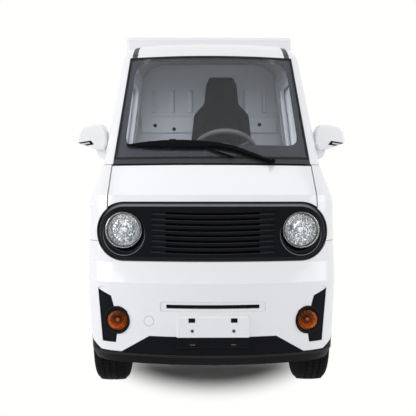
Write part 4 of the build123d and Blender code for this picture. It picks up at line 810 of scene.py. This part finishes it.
flute_tone = remap(tree, flute, -1.0, 1.0, 0.72, 1.0)
fluted = blend(tree, 1.0, rings, flute_tone, blend_type="MULTIPLY")
painted_top_shade = remap(tree, over_bulb, 0.034, -0.030, 0.55, 1.0)
painted_bowl_light = blend(tree, 1.0, fluted, painted_top_shade, blend_type="MULTIPLY")
feed(tree, shader, {"Base Color": painted_bowl_light})
fit(socket_mesh, "signal_sockets_and_bulbs", socket_metal, smooth=40)

# Windscreen: bowed laminated glass with a black baked border inside its edge,
# bonded to the pillars and sealed all round by a rubber lip.
BORDER_LINE = [
    # across, height
    (0.405, 1.299), (0.438, 1.305), (0.455, 1.322), (0.459, 1.350), (0.430, 1.705), (0.419, 1.748), (0.392, 1.776),
    (0.345, 1.786),
]
SCREEN_LOW = 1.2265
SCREEN_HIGH = 1.8190
SCREEN_BASE_HALF = 0.5205
SCREEN_TOP_HALF = 0.4600
SCREEN_BACK = 0.250
SCREEN_FOOT = 1.200
SCREEN_RAKE = 0.5
SCREEN_BOW = 1.500
BORDER_INWARD = 0.0070
BORDER_WALL = (0, 0.0006, -0.0003)
glass = clear_finish("glass", (0.885, 0.905, 0.94, 1), 0.0, 1.32)
dress(glass, "windscreen")


def give_wall(mesh, shift, wall):
    """Moves a skin by a shift, then draws it out into a wall."""
    bmesh.ops.translate(mesh, verts=mesh.verts, vec=shift)
    drawn = bmesh.ops.extrude_face_region(mesh, geom=mesh.faces[:], use_keep_orig=True)["geom"]
    corners = [part for part in drawn if isinstance(part, bmesh.types.BMVert)]
    bmesh.ops.translate(mesh, verts=corners, vec=wall)
    face_out(mesh)


def cut(mesh, place, outward, near=0.00001, clear=True):
    """Cuts a skin along a plane and clears what lies outward of it."""
    geometry = mesh.verts[:] + mesh.edges[:] + mesh.faces[:]
    bmesh.ops.bisect_plane(mesh, geom=geometry, dist=near, plane_co=place, plane_no=outward, clear_outer=clear)


def glass_sheet():
    """A flat sheet cut to the windscreen's outline as it is seen from the front."""
    mesh = bmesh.new()
    half = (SCREEN_BASE_HALF, (SCREEN_HIGH - SCREEN_LOW) / 2)
    upright_grid(mesh, (0, 0, (SCREEN_LOW + SCREEN_HIGH) / 2), half, (64, 32))
    for side in (-1, 1):
        outward = (side * (SCREEN_HIGH - SCREEN_LOW), 0, SCREEN_BASE_HALF - SCREEN_TOP_HALF)
        cut(mesh, (side * SCREEN_BASE_HALF, 0, SCREEN_LOW), outward, near=0.0)
    return mesh


def screen_depth(across, height, inward=0.0):
    """Where the windscreen's outer face, or a face a little inside it, lies along the truck."""
    sweep = SCREEN_BOW - ((SCREEN_BOW - inward) ** 2 - across**2) ** 0.5
    return FRONT + SCREEN_BACK + (height - SCREEN_FOOT) * SCREEN_RAKE + sweep


def bow_sheet(mesh, inward):
    """Bends a flat sheet to the windscreen's bow and rake."""
    for corner in mesh.verts:
        corner.co.y = screen_depth(corner.co.x, corner.co.z, inward)


border_mesh = glass_sheet()
border = [Vector((x, 0, z)) for x, z in BORDER_LINE]
border += [Vector((-x, 0, z)) for x, z in reversed(BORDER_LINE)]
sides = []
for start, end in zip(border, border[1:] + border[:1]):
    run = end - start
    sides.append((start, Vector((run.z, 0, -run.x)).normalized()))
for start, outward in sides:
    cut(border_mesh, start, outward, clear=False)
inside = []
for face in border_mesh.faces:
    middle = face.calc_center_median()
    if all((middle - start).dot(outward) < 0 for start, outward in sides):
        inside.append(face)
bmesh.ops.delete(border_mesh, geom=inside, context="FACES")
bow_sheet(border_mesh, BORDER_INWARD)
give_wall(border_mesh, (0, 0, 0), BORDER_WALL)
border_black = coated_finish(
    "border_black", (0.032, 0.034, 0.041, 1), 1200, (0.35, 0.5), 0.05, more={"Specular IOR Level": 0.1}
)
fit(border_mesh, "windscreen_border", border_black)

SEAL_WIDTH = 0.009
SEAL_WALL = (0, -0.0026, 0.0013)
seal_rubber = coated_finish(
    "seal_rubber", (0.011, 0.011, 0.012, 1), 900, (0.55, 0.7), 0.2, more={"Specular IOR Level": 0.2}
)


def edge_band(mesh, width):
    """Parts the band along a skin's edge from the rest; gives back the band's faces."""
    return bmesh.ops.inset_region(
        mesh, faces=mesh.faces[:], thickness=width, use_boundary=True, use_even_offset=False
    )["faces"]


def keep_band(mesh, width):
    """Leaves only the band along a skin's edge."""
    band = set(edge_band(mesh, width))
    bmesh.ops.delete(mesh, geom=[face for face in mesh.faces if face not in band], context="FACES")


screen_seal = glass_sheet()
keep_band(screen_seal, SEAL_WIDTH)
bow_sheet(screen_seal, 0.0004)
give_wall(screen_seal, (0, 0, 0), SEAL_WALL)
fit(screen_seal, "windscreen_seal", seal_rubber)

# Skirt rib: a shallow crease of satin black plastic along the middle of the skirt,
# moulded with it; its face is painted a little lighter than the skirt around it, a painted highlight.
RIB_LOW = 0.247
RIB_HIGH = 0.258
# Its lighter base colour and lip colour are painted highlights.
rib_plastic = coated_finish(
    "rib_plastic", (0.0125, 0.013, 0.0155, 1), 800, (0.42, 0.56), 0.22, (0.02, 0.5), 0.003, (0.05, 0.053, 0.062, 1),
    more={"Specular IOR Level": 0.10},
)


def skin_copy(name, wanted):
    """A merged copy of a CAD piece's skin that keeps only the wanted faces."""
    mesh = bmesh.new()
    mesh.from_mesh(nodes[name].data)
    bmesh.ops.remove_doubles(mesh, verts=mesh.verts, dist=0.00005)
    mesh.normal_update()
    spare = [face for face in mesh.faces if not wanted(face)]
    bmesh.ops.delete(mesh, geom=spare, context="FACES")
    bmesh.ops.dissolve_degenerate(mesh, dist=0.0001, edges=mesh.edges[:])
    return mesh


skirt_rib = skin_copy("bumper_skirt", lambda face: face.normal.y < -0.25)
cut(skirt_rib, (0, 0, RIB_LOW), (0, 0, -1))
cut(skirt_rib, (0, 0, RIB_HIGH), (0, 0, 1))
give_wall(skirt_rib, (0, 0.0006, 0), (0, -0.0036, 0))
fit(skirt_rib, "skirt_rib", rib_plastic, smooth=35)

# Cowl and wiper: a black moulded strip under the glass, and one arm on a spindle
# that carries a broad blade with its rubber edge.
SPINE_INSET = 0.0055
SPINDLE_PLACE = Vector((0.315, -1.497, 1.212))
SPINDLE_LINE = [(0.0, 0.0130), (0.004, 0.0130), (0.007, 0.0115), (0.009, 0.0080), (0.010, 0.0)]
cowl_plastic = coated_finish(
    "cowl_plastic", (0.020, 0.021, 0.026, 1), 900, (0.4, 0.55), 0.15, edge=0.002, more={"Specular IOR Level": 0.4}
)
dress(cowl_plastic, "cowl_strip")
# Its lip colour paints a faint highlight on upper edges.
wiper_black = coated_finish(
    "wiper_black", (0.0022, 0.0023, 0.0030, 1), 800, (0.40, 0.55), 0.2, (0.01, 2.0), 0.002, (0.012, 0.0125, 0.015, 1),
    more={"Specular IOR Level": 0.04},
)
dress(wiper_black, "wiper")
wiper_spine = skin_copy("wiper", lambda face: face.normal.y < -0.3)
bmesh.ops.delete(wiper_spine, geom=edge_band(wiper_spine, SPINE_INSET), context="FACES")
give_wall(wiper_spine, (0, 0.0006, -0.0003), (0, -0.0042, 0.0021))
fit(wiper_spine, "wiper_spine", wiper_black, smooth=35)
BLADE_HEIGHT = 1.312
BLADE_STAND = 0.016
CLAW_HEIGHT = 0.026
BLADE_CLAWS = [
    # across, half width, height of the top
    (-0.330, 0.007, 1.3215),
    (-0.205, 0.019, 1.3300),
    (-0.080, 0.007, 1.3255),
]
claw_mesh = bmesh.new()
for across, half, top in BLADE_CLAWS:
    depth = screen_depth(across, BLADE_HEIGHT) - BLADE_STAND
    add_block(claw_mesh, (across - half, depth - 0.006, top - CLAW_HEIGHT), (across + half, depth + 0.008, top), 0.003)
fit(claw_mesh, "wiper_claws", black_plastic, smooth=35)
spindle_mesh = bmesh.new()
spin_profile(spindle_mesh, SPINDLE_LINE, SPINDLE_PLACE, (0, -1, 0), 24)
face_out(spindle_mesh)
fit(spindle_mesh, "wiper_spindle_cap", wiper_black, smooth=40)

# Roof trims: a black strip bedded in the ditch along each side of the roof,
# and a pale felt lining glued under the panel.
STRIP_MIDDLE = 0.434
STRIP_HALF = 0.0148
STRIP_TOP = 1.8470
SIDES = [("left", 1), ("right", -1)]
strip_mesh = skin_copy(
    "roof_panel",
    lambda face: abs(abs(face.calc_center_median().x) - STRIP_MIDDLE) < STRIP_HALF - 0.0004
    and face.normal.z > 0.3
    and max(abs(abs(corner.co.x) - STRIP_MIDDLE) for corner in face.verts) < STRIP_HALF + 0.0004,
)
give_wall(strip_mesh, (0, 0, 0.0002), (0, 0, 0.0042))
strip_rubber = coated_finish("strip_rubber", (0.030, 0.031, 0.034, 1), 700, (0.5, 0.65), 0.15)
fit(strip_mesh, "roof_strips", strip_rubber)
for name, side in SIDES:
    tail_mesh = skin_copy(
        "roof_panel",
        lambda face: face.normal.y < -0.1 and face.normal.z > 0.1 and face.calc_center_median().x * side > 0.3,
    )
    inner, outer = side * (STRIP_MIDDLE - STRIP_HALF), side * (STRIP_MIDDLE + STRIP_HALF)
    cut(tail_mesh, (inner, 0, 0), (-side, 0, 0), near=0.0)
    cut(tail_mesh, (outer, 0, 0), (side, 0, 0), near=0.0)
    cut(tail_mesh, (0, 0, STRIP_TOP), (0, 0, 1), near=0.0)
    give_wall(tail_mesh, (0, 0.0004, -0.0002), (0, -0.0018, 0.0009))
    fit(tail_mesh, "roof_strip_end_" + name, strip_rubber)
lining_mesh = skin_copy("roof_panel", lambda face: face.normal.z < -0.25 and face.calc_center_median().z > 1.825)
give_wall(lining_mesh, (0, 0, -0.001), (0, 0, -0.004))
lining_felt = coated_finish("lining_felt", (0.48, 0.48, 0.47, 1), 1400, (0.85, 0.98), 0.6, more={"Sheen Weight": 0.3})
fit(lining_mesh, "roof_lining", lining_felt, smooth=60)

# Doors: pressed leaves with tinted glass in a rubber channel, a lock below the grip,
# and a moulded lining with an armrest inside.
LOCK_LINE = [(-0.004, 0.0125), (0.0012, 0.0125), (0.0022, 0.0112), (0.0016, 0.0080), (0.0022, 0.0070), (0.0022, 0.0)]
LOCK_PLACE = (0.6365, -0.440, 0.905)
CHANNEL_WIDTH = 0.012
LINING_INSET = 0.030
LINING_TOP = 1.203
ARMREST_DEPTHS = (0.530, 0.588)
for name, side in SIDES:
    dress(glass, "door_glass_" + name)
    channel = skin_copy("door_glass_" + name, lambda face: face.normal.x * side > 0.3)
    keep_band(channel, CHANNEL_WIDTH)
    give_wall(channel, (side * -0.0004, 0, 0), (side * 0.005, 0, 0.0006))
    fit(channel, "window_channel_" + name, seal_rubber, body="door_" + name)
    lock_mesh = bmesh.new()
    spot = Vector((side * LOCK_PLACE[0], LOCK_PLACE[1], LOCK_PLACE[2]))
    spin_profile(lock_mesh, LOCK_LINE, spot, (side, 0, 0), 28)
    face_out(lock_mesh)
    fit(lock_mesh, "door_lock_" + name, zinc_steel, smooth=30, body="door_" + name)
    lining = skin_copy(
        "door_" + name, lambda face: face.normal.x * side < -0.3 and max(c.co.z for c in face.verts) < LINING_TOP
    )
    bmesh.ops.delete(lining, geom=edge_band(lining, LINING_INSET), context="FACES")
    give_wall(lining, (side * 0.0005, 0, 0), (side * -0.006, 0, 0))
    left, right = sorted(side * depth for depth in ARMREST_DEPTHS)
    add_block(lining, (left, -0.90, 0.965), (right, -0.56, 1.010), 0.012)
    fit(lining, "door_lining_" + name, cabin_plastic, smooth=35, body="door_" + name)

# Door mirrors: a painted shell on a short arm, its white a little lighter than the cab's as painted light,
# a flat mirror pane let into its back and a small repeater lamp, a clear window in a black frame, low on its front.
mirror_shell = coated_finish(
    "mirror_shell", (0.85, 0.855, 0.88, 1), 1500, (0.29, 0.34), 0.02, (0.02, 2.5), 0.003,
    more={"Coat Weight": 0.5, "Coat Roughness": 0.08},
)
mirror_pane = coated_finish("mirror_pane", (0.86, 0.88, 0.89, 1), 30, (0.01, 0.03), 0.0, more={"Metallic": 1.0})
PANE_INSET = 0.011
REPEATER_SLOPE = (0.16, 0.987)
REPEATER_MIDDLE = (0.700, 1.3225)
REPEATER_FRAME = (0.0120, 0.655, 0.760)
REPEATER_WINDOW = (0.0040, 0.672, 0.748)
repeater_clear = coated_finish(
    "repeater_clear", (0.62, 0.60, 0.57, 1), 260, (0.08, 0.16), 0.3, more={"Coat Weight": 1.0}
)
for name, side in SIDES:
    dress(mirror_shell, "mirror_" + name)
    pane = skin_copy(
        "mirror_" + name, lambda face: face.normal.y > 0.95 and face.calc_center_median().y > -1.150
    )
    bmesh.ops.delete(pane, geom=edge_band(pane, PANE_INSET), context="FACES")
    give_wall(pane, (0, -0.0004, 0), (0, 0.0016, 0))
    fit(pane, "mirror_pane_" + name, mirror_pane, body="door_" + name)
    for part, (half, inner, outer), stand, finish, slot in (
        ("frame", REPEATER_FRAME, 0.0012, black_plastic, "black_plastic"),
        ("window", REPEATER_WINDOW, 0.0020, repeater_clear, "lamp_glass"),
    ):
        strip = skin_copy("mirror_" + name, lambda face: face.normal.y < -0.7 and face.calc_center_median().z > 1.28)
        tilt, upright = REPEATER_SLOPE
        cuts = (
            (REPEATER_MIDDLE[0] + tilt * half, REPEATER_MIDDLE[1] + upright * half, tilt, upright),
            (REPEATER_MIDDLE[0] - tilt * half, REPEATER_MIDDLE[1] - upright * half, -tilt, -upright),
            (inner, REPEATER_MIDDLE[1], -0.80, 0.60),
            (outer, REPEATER_MIDDLE[1], 1.0, 0.0),
        )
        for across, height, turn, rise in cuts:
            cut(strip, (side * across, 0, height), (side * turn, 0, rise))
        give_wall(strip, (0, 0.0004, 0), (0, -stand, 0))
        fit(strip, "mirror_repeater_" + part + "_" + name, finish, body="door_" + name)

# Driver's seat: shaped foam under woven grey cloth on a moulded pedestal,
# with sewn channels that divide the cushion and the tall back.
SEAT_ACROSS = 0.079
COVER_PRESSURE = 4.0
COVER_STEPS = 20
CUSHION_PANEL = 0.115
CUSHION_SEAM = 0.95
CUSHION_FOLD = -0.585
CUSHION_PIPING = 0.925
BACK_PANEL = 0.112
BACK_SEAMS = (1.20, 1.36, 1.52)
dress(cabin_plastic, "seat_base")
seat_cloth, tree, shader = start_finish("seat_cloth")
coordinates = surface_place(tree)
thread = {"Scale": 130.0, "Distortion": 1.2, "Vector": coordinates}
threads = [add_node(tree, "TexWave", thread, bands_direction=way).outputs["Fac"] for way in ("X", "Z")]
weave = reckon(tree, "MULTIPLY", *threads)
weave_bump = add_node(tree, "Bump", {"Strength": 0.25, "Distance": 0.0004, "Height": weave})
fading = add_node(tree, "TexNoise", {"Scale": 9.0, "Vector": coordinates})
yarn = blend(tree, weave, (0.009, 0.0097, 0.0125, 1), (0.0155, 0.0166, 0.0215, 1))
worn = blend(tree, 0.5, yarn, fading.outputs["Color"], blend_type="SOFT_LIGHT")
matt = remap(tree, weave, 0.0, 1.0, 0.95, 0.8)
feed(tree, shader, {"Base Color": worn, "Normal": weave_bump.outputs["Normal"]})
feed(tree, shader, {"Roughness": matt, "Specular IOR Level": 0.15})


def finished_mesh(piece):
    """The piece's mesh as its modifiers leave it."""
    return bpy.data.meshes.new_from_object(piece.evaluated_get(bpy.context.evaluated_depsgraph_get()))


def stuffed_pad(node, name, shrink, voxel, reach):
    """A padded piece in a CAD block's place: its skin remeshed, then blown up as cloth over foam."""
    mesh = skin_copy(node, lambda face: True)
    low, high = (Vector(corner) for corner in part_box(node))
    middle = (low + high) / 2
    around = Matrix.Translation(-middle)
    bmesh.ops.scale(mesh, verts=mesh.verts, vec=shrink, space=around)
    piece = make_piece(mesh, name, seat_cloth)
    even = piece.modifiers.new("even_mesh", "REMESH")
    even.mode = "VOXEL"
    even.voxel_size = voxel
    piece.data = finished_mesh(piece)
    piece.data.materials.clear()
    piece.data.materials.append(seat_cloth)
    piece.modifiers.clear()
    first = [corner.co.copy() for corner in piece.data.vertices]
    cover = piece.modifiers.new("cover", "CLOTH")
    cover.settings.use_pressure = True
    cover.settings.uniform_pressure_force = COVER_PRESSURE
    cover.settings.effector_weights.gravity = 0
    for step in range(1, COVER_STEPS + 1):
        scene.frame_set(step)
    swollen = finished_mesh(piece)
    piece.modifiers.clear()
    for corner, start in zip(swollen.vertices, first):
        move = corner.co - start
        if move.length > reach:
            corner.co = start + move * (reach / move.length)
    piece.data = swollen
    scene.frame_set(1)
    return piece


def sew_channels(piece, channels, depth, width):
    """Presses sewn channels into a pad; each is a function that gives a point's distance from it."""
    normals = [corner.vector.copy() for corner in piece.data.vertex_normals]
    for corner, normal in zip(piece.data.vertices, normals):
        gap = min(channel(corner.co) for channel in channels)
        corner.co -= normal * depth * 2.718 ** (-((gap / width) ** 2))
    piece.data.shade_smooth()
    rounder = piece.modifiers.new("rounder", "SUBSURF")
    rounder.levels = 1
    rounder.render_levels = 1


cushion = stuffed_pad("seat_cushion", "seat_cushion_cover", (0.95, 0.95, 0.86), 0.006, 0.016)
cushion_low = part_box("seat_cushion")[0][2]
for corner in cushion.data.vertices:
    corner.co.z = max(corner.co.z, cushion_low)
sew_channels(
    cushion,
    [
        lambda place: abs(abs(place.x - SEAT_ACROSS) - CUSHION_PANEL) if place.z > CUSHION_SEAM else 1.0,
        lambda place: abs(place.y - CUSHION_FOLD)
        if place.z > CUSHION_SEAM and abs(place.x - SEAT_ACROSS) < CUSHION_PANEL
        else 1.0,
        lambda place: abs(place.z - CUSHION_PIPING),
    ],
    0.009,
    0.008,
)
back_pad = stuffed_pad("seat_back", "seat_back_cover", (1.0, 0.92, 1.0), 0.0065, 0.009)
sew_channels(
    back_pad,
    [
        lambda place: abs(abs(place.x - SEAT_ACROSS) - BACK_PANEL) if place.z < BACK_SEAMS[-1] else 1.0,
        lambda place: min(abs(place.z - seam) for seam in BACK_SEAMS)
        if abs(place.x - SEAT_ACROSS) < BACK_PANEL
        else 1.0,
    ],
    0.009,
    0.009,
)
for pad, node in ((cushion, "seat_cushion"), (back_pad, "seat_back")):
    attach(pad, "truck")
    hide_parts(node)

# Driver's controls and back wall: a moulded dashboard with an instrument screen and round air vents,
# a steering wheel with a soft middle pad, two stalks and two pedals, and behind the seat
# a pale painted panel with black plugs pressed into its holes.
WHEEL_PLACE = Vector((0.085, -0.920, 1.292))
WHEEL_AXIS = Vector((0, sin(radians(40)), cos(radians(40))))
WHEEL_PAD_LINE = [(0.008, 0.066), (0.020, 0.066), (0.027, 0.060), (0.032, 0.040), (0.034, 0.0)]
VENT_AXIS = Vector((0, 0.841, 0.541))
VENTS = [(-0.42, -1.1275, 1.159), (-0.20, -1.1275, 1.159), (0.42, -1.1275, 1.159)]
VENT_LINE = [
    (-0.004, 0.036), (0.006, 0.036), (0.008, 0.032), (0.005, 0.028), (-0.003, 0.0275), (0.001, 0.010), (0.001, 0.0),
]
dress(cabin_plastic, "dashboard", "steering_column")
wheel_grip = coated_finish("wheel_grip", (0.15, 0.152, 0.16, 1), 900, (0.5, 0.65), 0.35)
dress(wheel_grip, "steering_wheel")
cabin_wall = coated_finish("cabin_wall", (0.70, 0.71, 0.74, 1), 500, (0.45, 0.6), 0.15, edge=0.004)
dress(cabin_wall, "back_panel")
WALL_RAIL_FACE = -0.352
WALL_PLUG_LINE = [(-0.002, 0.0130), (0.0030, 0.0130), (0.0045, 0.0110), (0.0030, 0.0085), (0.0030, 0.0)]
WALL_PLUGS = [(-0.370, 1.521), (-0.241, 1.497), (0.346, 1.528)]
plug_mesh = bmesh.new()
for across, height in WALL_PLUGS:
    spot = Vector((across, WALL_RAIL_FACE, height))
    spin_profile(plug_mesh, WALL_PLUG_LINE, spot, (0, -1, 0), 24)
face_out(plug_mesh)
fit(plug_mesh, "wall_plugs", black_plastic, smooth=35)
wheel_pad = bmesh.new()
spin_profile(wheel_pad, WHEEL_PAD_LINE, WHEEL_PLACE, WHEEL_AXIS, 40, outward=(1, 0, 0))
face_out(wheel_pad)
fit(wheel_pad, "steering_wheel_pad", cabin_plastic, smooth=40, body="steering_wheel")
controls = bmesh.new()
for spot in VENTS:
    spin_profile(controls, VENT_LINE, Vector(spot), VENT_AXIS, 32, outward=(1, 0, 0))
for side in (-1, 1):
    stem = WHEEL_PLACE - WHEEL_AXIS * 0.075 + Vector((side * 0.085, 0, 0))
    lie = Matrix.Translation(stem) @ Matrix.Rotation(side * pi / 2, 4, "Y")
    bmesh.ops.create_cone(
        controls, cap_ends=True, segments=14, radius1=0.0055, radius2=0.0085, depth=0.120, matrix=lie
    )
for across in (0.020, 0.150):
    hang = Matrix.Translation((across, -1.285, 0.855)) @ Matrix.Rotation(radians(-22), 4, "X")
    arm = bmesh.ops.create_cube(controls, size=1, matrix=hang @ Matrix.Diagonal((0.012, 0.020, 0.250, 1)))["verts"]
    tread = hang @ Matrix.Translation((0, 0.006, -0.125)) @ Matrix.Diagonal((0.062, 0.016, 0.070, 1))
    arm += bmesh.ops.create_cube(controls, size=1, matrix=tread)["verts"]
    round_edges(controls, arm, 0.003)
face_out(controls)
fit(controls, "vents_stalks_and_pedals", black_plastic, smooth=35)
SCREEN_CORNERS = [(-0.020, -1.144, 1.1560), (0.190, -1.134, 1.2040)]
screen_mesh = bmesh.new()
screen_faces = add_block(screen_mesh, *SCREEN_CORNERS, 0.003)
screen_front = max(screen_faces, key=lambda one: one.calc_center_median().y)
bmesh.ops.inset_region(screen_mesh, faces=[screen_front], thickness=0.005, depth=-0.002)
screen_black = coated_finish("screen_black", (0.012, 0.014, 0.018, 1), 60, (0.08, 0.18), 0.01)
fit(screen_mesh, "instrument_screen", screen_black, smooth=30)

# Load box: white glass-fibre skinned panels on a steel floor frame. Pressed rails cover the lower
# joints, and rows of blind rivets hold the skins to the posts.
BOX_SIDE = 0.578
BOX_FRONT = -0.250
PORTAL_FRONT = 1.630
RIVET_PITCH = 0.094
RIVET_TOP_ROW = 2.105
RAIL_LOW = 0.6520
RAIL_HIGH = 0.7120
RAIL_WALL = 0.0025
box_paint = coated_finish("box_paint", WHITE, 700, (0.30, 0.42), 0.03, (0.06, 0.9), 0.003)
dress(box_paint, "box_front_wall", "box_side_walls", "box_roof", "rear_portal", "rear_door_left", "rear_door_right")
box_deck = coated_finish("box_deck", (0.11, 0.105, 0.10, 1), 120, (0.5, 0.7), 0.9, (0.5, 0.7))
dress(box_deck, "box_floor")
rail_metal = coated_finish(
    "rail_metal", (0.62, 0.63, 0.64, 1), 350, (0.32, 0.46), 0.12, (0.4, 0.9), 0.001, more={"Metallic": 0.85}
)
rail_mesh = bmesh.new()
rivet_mesh = bmesh.new()


def add_rivet(mesh, place, direction):
    """A low round rivet head standing on a surface."""
    away = Vector(direction)
    turn = away.to_track_quat("Z", "Y").to_matrix().to_4x4()
    head = Matrix.Translation(Vector(place)) @ turn
    bmesh.ops.create_cone(mesh, cap_ends=True, segments=8, radius1=0.0050, radius2=0.0030, depth=0.0036, matrix=head)


for side in (-1, 1):
    left, right = sorted((side * (BOX_SIDE - 0.001), side * (BOX_SIDE + RAIL_WALL)))
    add_block(rail_mesh, (left, BOX_FRONT + 0.028, RAIL_LOW), (right, PORTAL_FRONT + 0.058, RAIL_HIGH), 0.0010)
    for step in range(20):
        along = BOX_FRONT + 0.055 + step * RIVET_PITCH
        add_rivet(rivet_mesh, (side * (BOX_SIDE + RAIL_WALL), along, 0.682), (side, 0, 0))
        add_rivet(rivet_mesh, (side * BOX_SIDE, along, RIVET_TOP_ROW), (side, 0, 0))
for step in range(12):
    across = -0.517 + step * RIVET_PITCH
    add_rivet(rivet_mesh, (across, BOX_FRONT, RIVET_TOP_ROW), (0, -1, 0))
    add_rivet(rivet_mesh, (across, BOX_FRONT, 0.690), (0, -1, 0))
fit(rail_mesh, "box_rails", rail_metal, smooth=35)
fit(rivet_mesh, "box_rivets", box_paint, smooth=30)

# Rear doors: two leaves on strap hinges, with a rubber lip down the meeting edge
# and a plated paddle in each latch pocket.
DOOR_FACE = 1.725
STRAP_FACE = DOOR_FACE + 0.0022
STRAP_ENDS = (0.460, 0.5665)
STRAP_RIVETS = (0.478, 0.510, 0.542)
PADDLE_ENDS = (0.027, 0.097)
STRAP_HEIGHTS = [0.760 + step * (2.140 - 0.645 - 0.235) / 3 for step in range(4)]
latch_metal = coated_finish(
    "latch_metal", (0.50, 0.51, 0.52, 1), 300, (0.29, 0.38), 0.08, edge=0.001, more={"Metallic": 1.0}
)
for name, side in SIDES:
    strap_mesh = bmesh.new()
    for height in STRAP_HEIGHTS:
        start, end = sorted(side * across for across in STRAP_ENDS)
        add_block(strap_mesh, (start, DOOR_FACE - 0.001, height + 0.004), (end, STRAP_FACE, height + 0.032), 0.0010)
        for across in STRAP_RIVETS:
            add_rivet(strap_mesh, (side * across, STRAP_FACE, height + 0.018), (0, 1, 0))
    fit(strap_mesh, "rear_hinge_straps_" + name, box_paint, smooth=35, body="rear_door_" + name)
    paddle_mesh = bmesh.new()
    start, end = sorted(side * across for across in PADDLE_ENDS)
    paddle = add_block(paddle_mesh, (start, DOOR_FACE - 0.006, 1.2600), (end, DOOR_FACE - 0.0015, 1.3020), 0.0020)
    face = max(paddle, key=lambda one: one.calc_center_median().y)
    bmesh.ops.inset_region(paddle_mesh, faces=[face], thickness=0.006, depth=-0.0018)
    spin_profile(paddle_mesh, LOCK_LINE, Vector((side * 0.062, DOOR_FACE - 0.013, 1.222)), (0, 1, 0), 28)
    face_out(paddle_mesh)
    fit(paddle_mesh, "rear_latch_paddle_" + name, latch_metal, smooth=35, body="rear_door_" + name)
lip_mesh = bmesh.new()
add_block(lip_mesh, (0.0030, DOOR_FACE - 0.001, 0.650), (0.0160, DOOR_FACE + 0.0020, 2.135), 0.0009)
fit(lip_mesh, "rear_meeting_lip", seal_rubber, smooth=35, body="rear_door_left")

# Rear end: a moulded bumper beam, lamps with ribbed lenses in a black housing,
# guards over the wheels and hanging rubber flaps behind them.
dress(black_plastic, "rear_bumper", "rear_mudguards", "tail_lamps")


def ribbed_lens(name, colour):
    """A moulded lamp lens with fine upright ribs, each painted darker in its groove as painted shade."""
    material, tree, shader = start_finish(name, {"Roughness": 0.2, "Coat Weight": 1.0})
    ribs = add_node(tree, "TexWave", {"Scale": 62.0, "Vector": surface_place(tree)}, bands_direction="X")
    bump = add_node(tree, "Bump", {"Strength": 0.6, "Distance": 0.002, "Height": ribs.outputs["Fac"]})
    shade = blend(tree, ribs.outputs["Fac"], tuple(0.55 * part for part in colour[:3]) + (1,), colour)
    feed(tree, shader, {"Base Color": shade, "Normal": bump.outputs["Normal"]})
    return material


PANE_DEPTHS = (1.7300, 1.7405)
PANE_HEIGHTS = (0.5060, 0.5790)
LAMP_PANES = [
    # name, slot, colour, from, to
    ("tail_pane_red", "red_lens", (0.42, 0.008, 0.010, 1), 0.466, 0.506),
    ("tail_pane_amber", "amber_lens", (0.55, 0.13, 0.008, 1), 0.509, 0.539),
    ("tail_pane_clear", "lamp_glass", (0.62, 0.62, 0.60, 1), 0.426, 0.463),
]
for name, slot, colour, start, end in LAMP_PANES:
    pane_mesh = bmesh.new()
    for side in (-1, 1):
        left, right = sorted((side * start, side * end))
        low, high = zip((left, right), PANE_DEPTHS, PANE_HEIGHTS)
        add_block(pane_mesh, low, high, 0.0035)
    fit(pane_mesh, name, ribbed_lens(name, colour), smooth=35)

FLAP_TOP = 0.312
FLAP_BOTTOM = 0.135
FLAP_HALF = 0.092
FLAP_SIDE = 0.545
FLAP_ALONG = 1.316
flap_mesh = bmesh.new()
for side in (-1, 1):
    middle = (side * FLAP_SIDE, FLAP_ALONG, (FLAP_TOP + FLAP_BOTTOM) / 2)
    upright_grid(flap_mesh, middle, (FLAP_HALF, (FLAP_TOP - FLAP_BOTTOM) / 2), (12, 12))
for corner in flap_mesh.verts:
    corner.co.y += 0.5 * (FLAP_TOP - corner.co.z) ** 2
thicken(flap_mesh, 0.005)
face_out(flap_mesh)
fit(flap_mesh, "mud_flaps", mat_rubber, smooth=40)
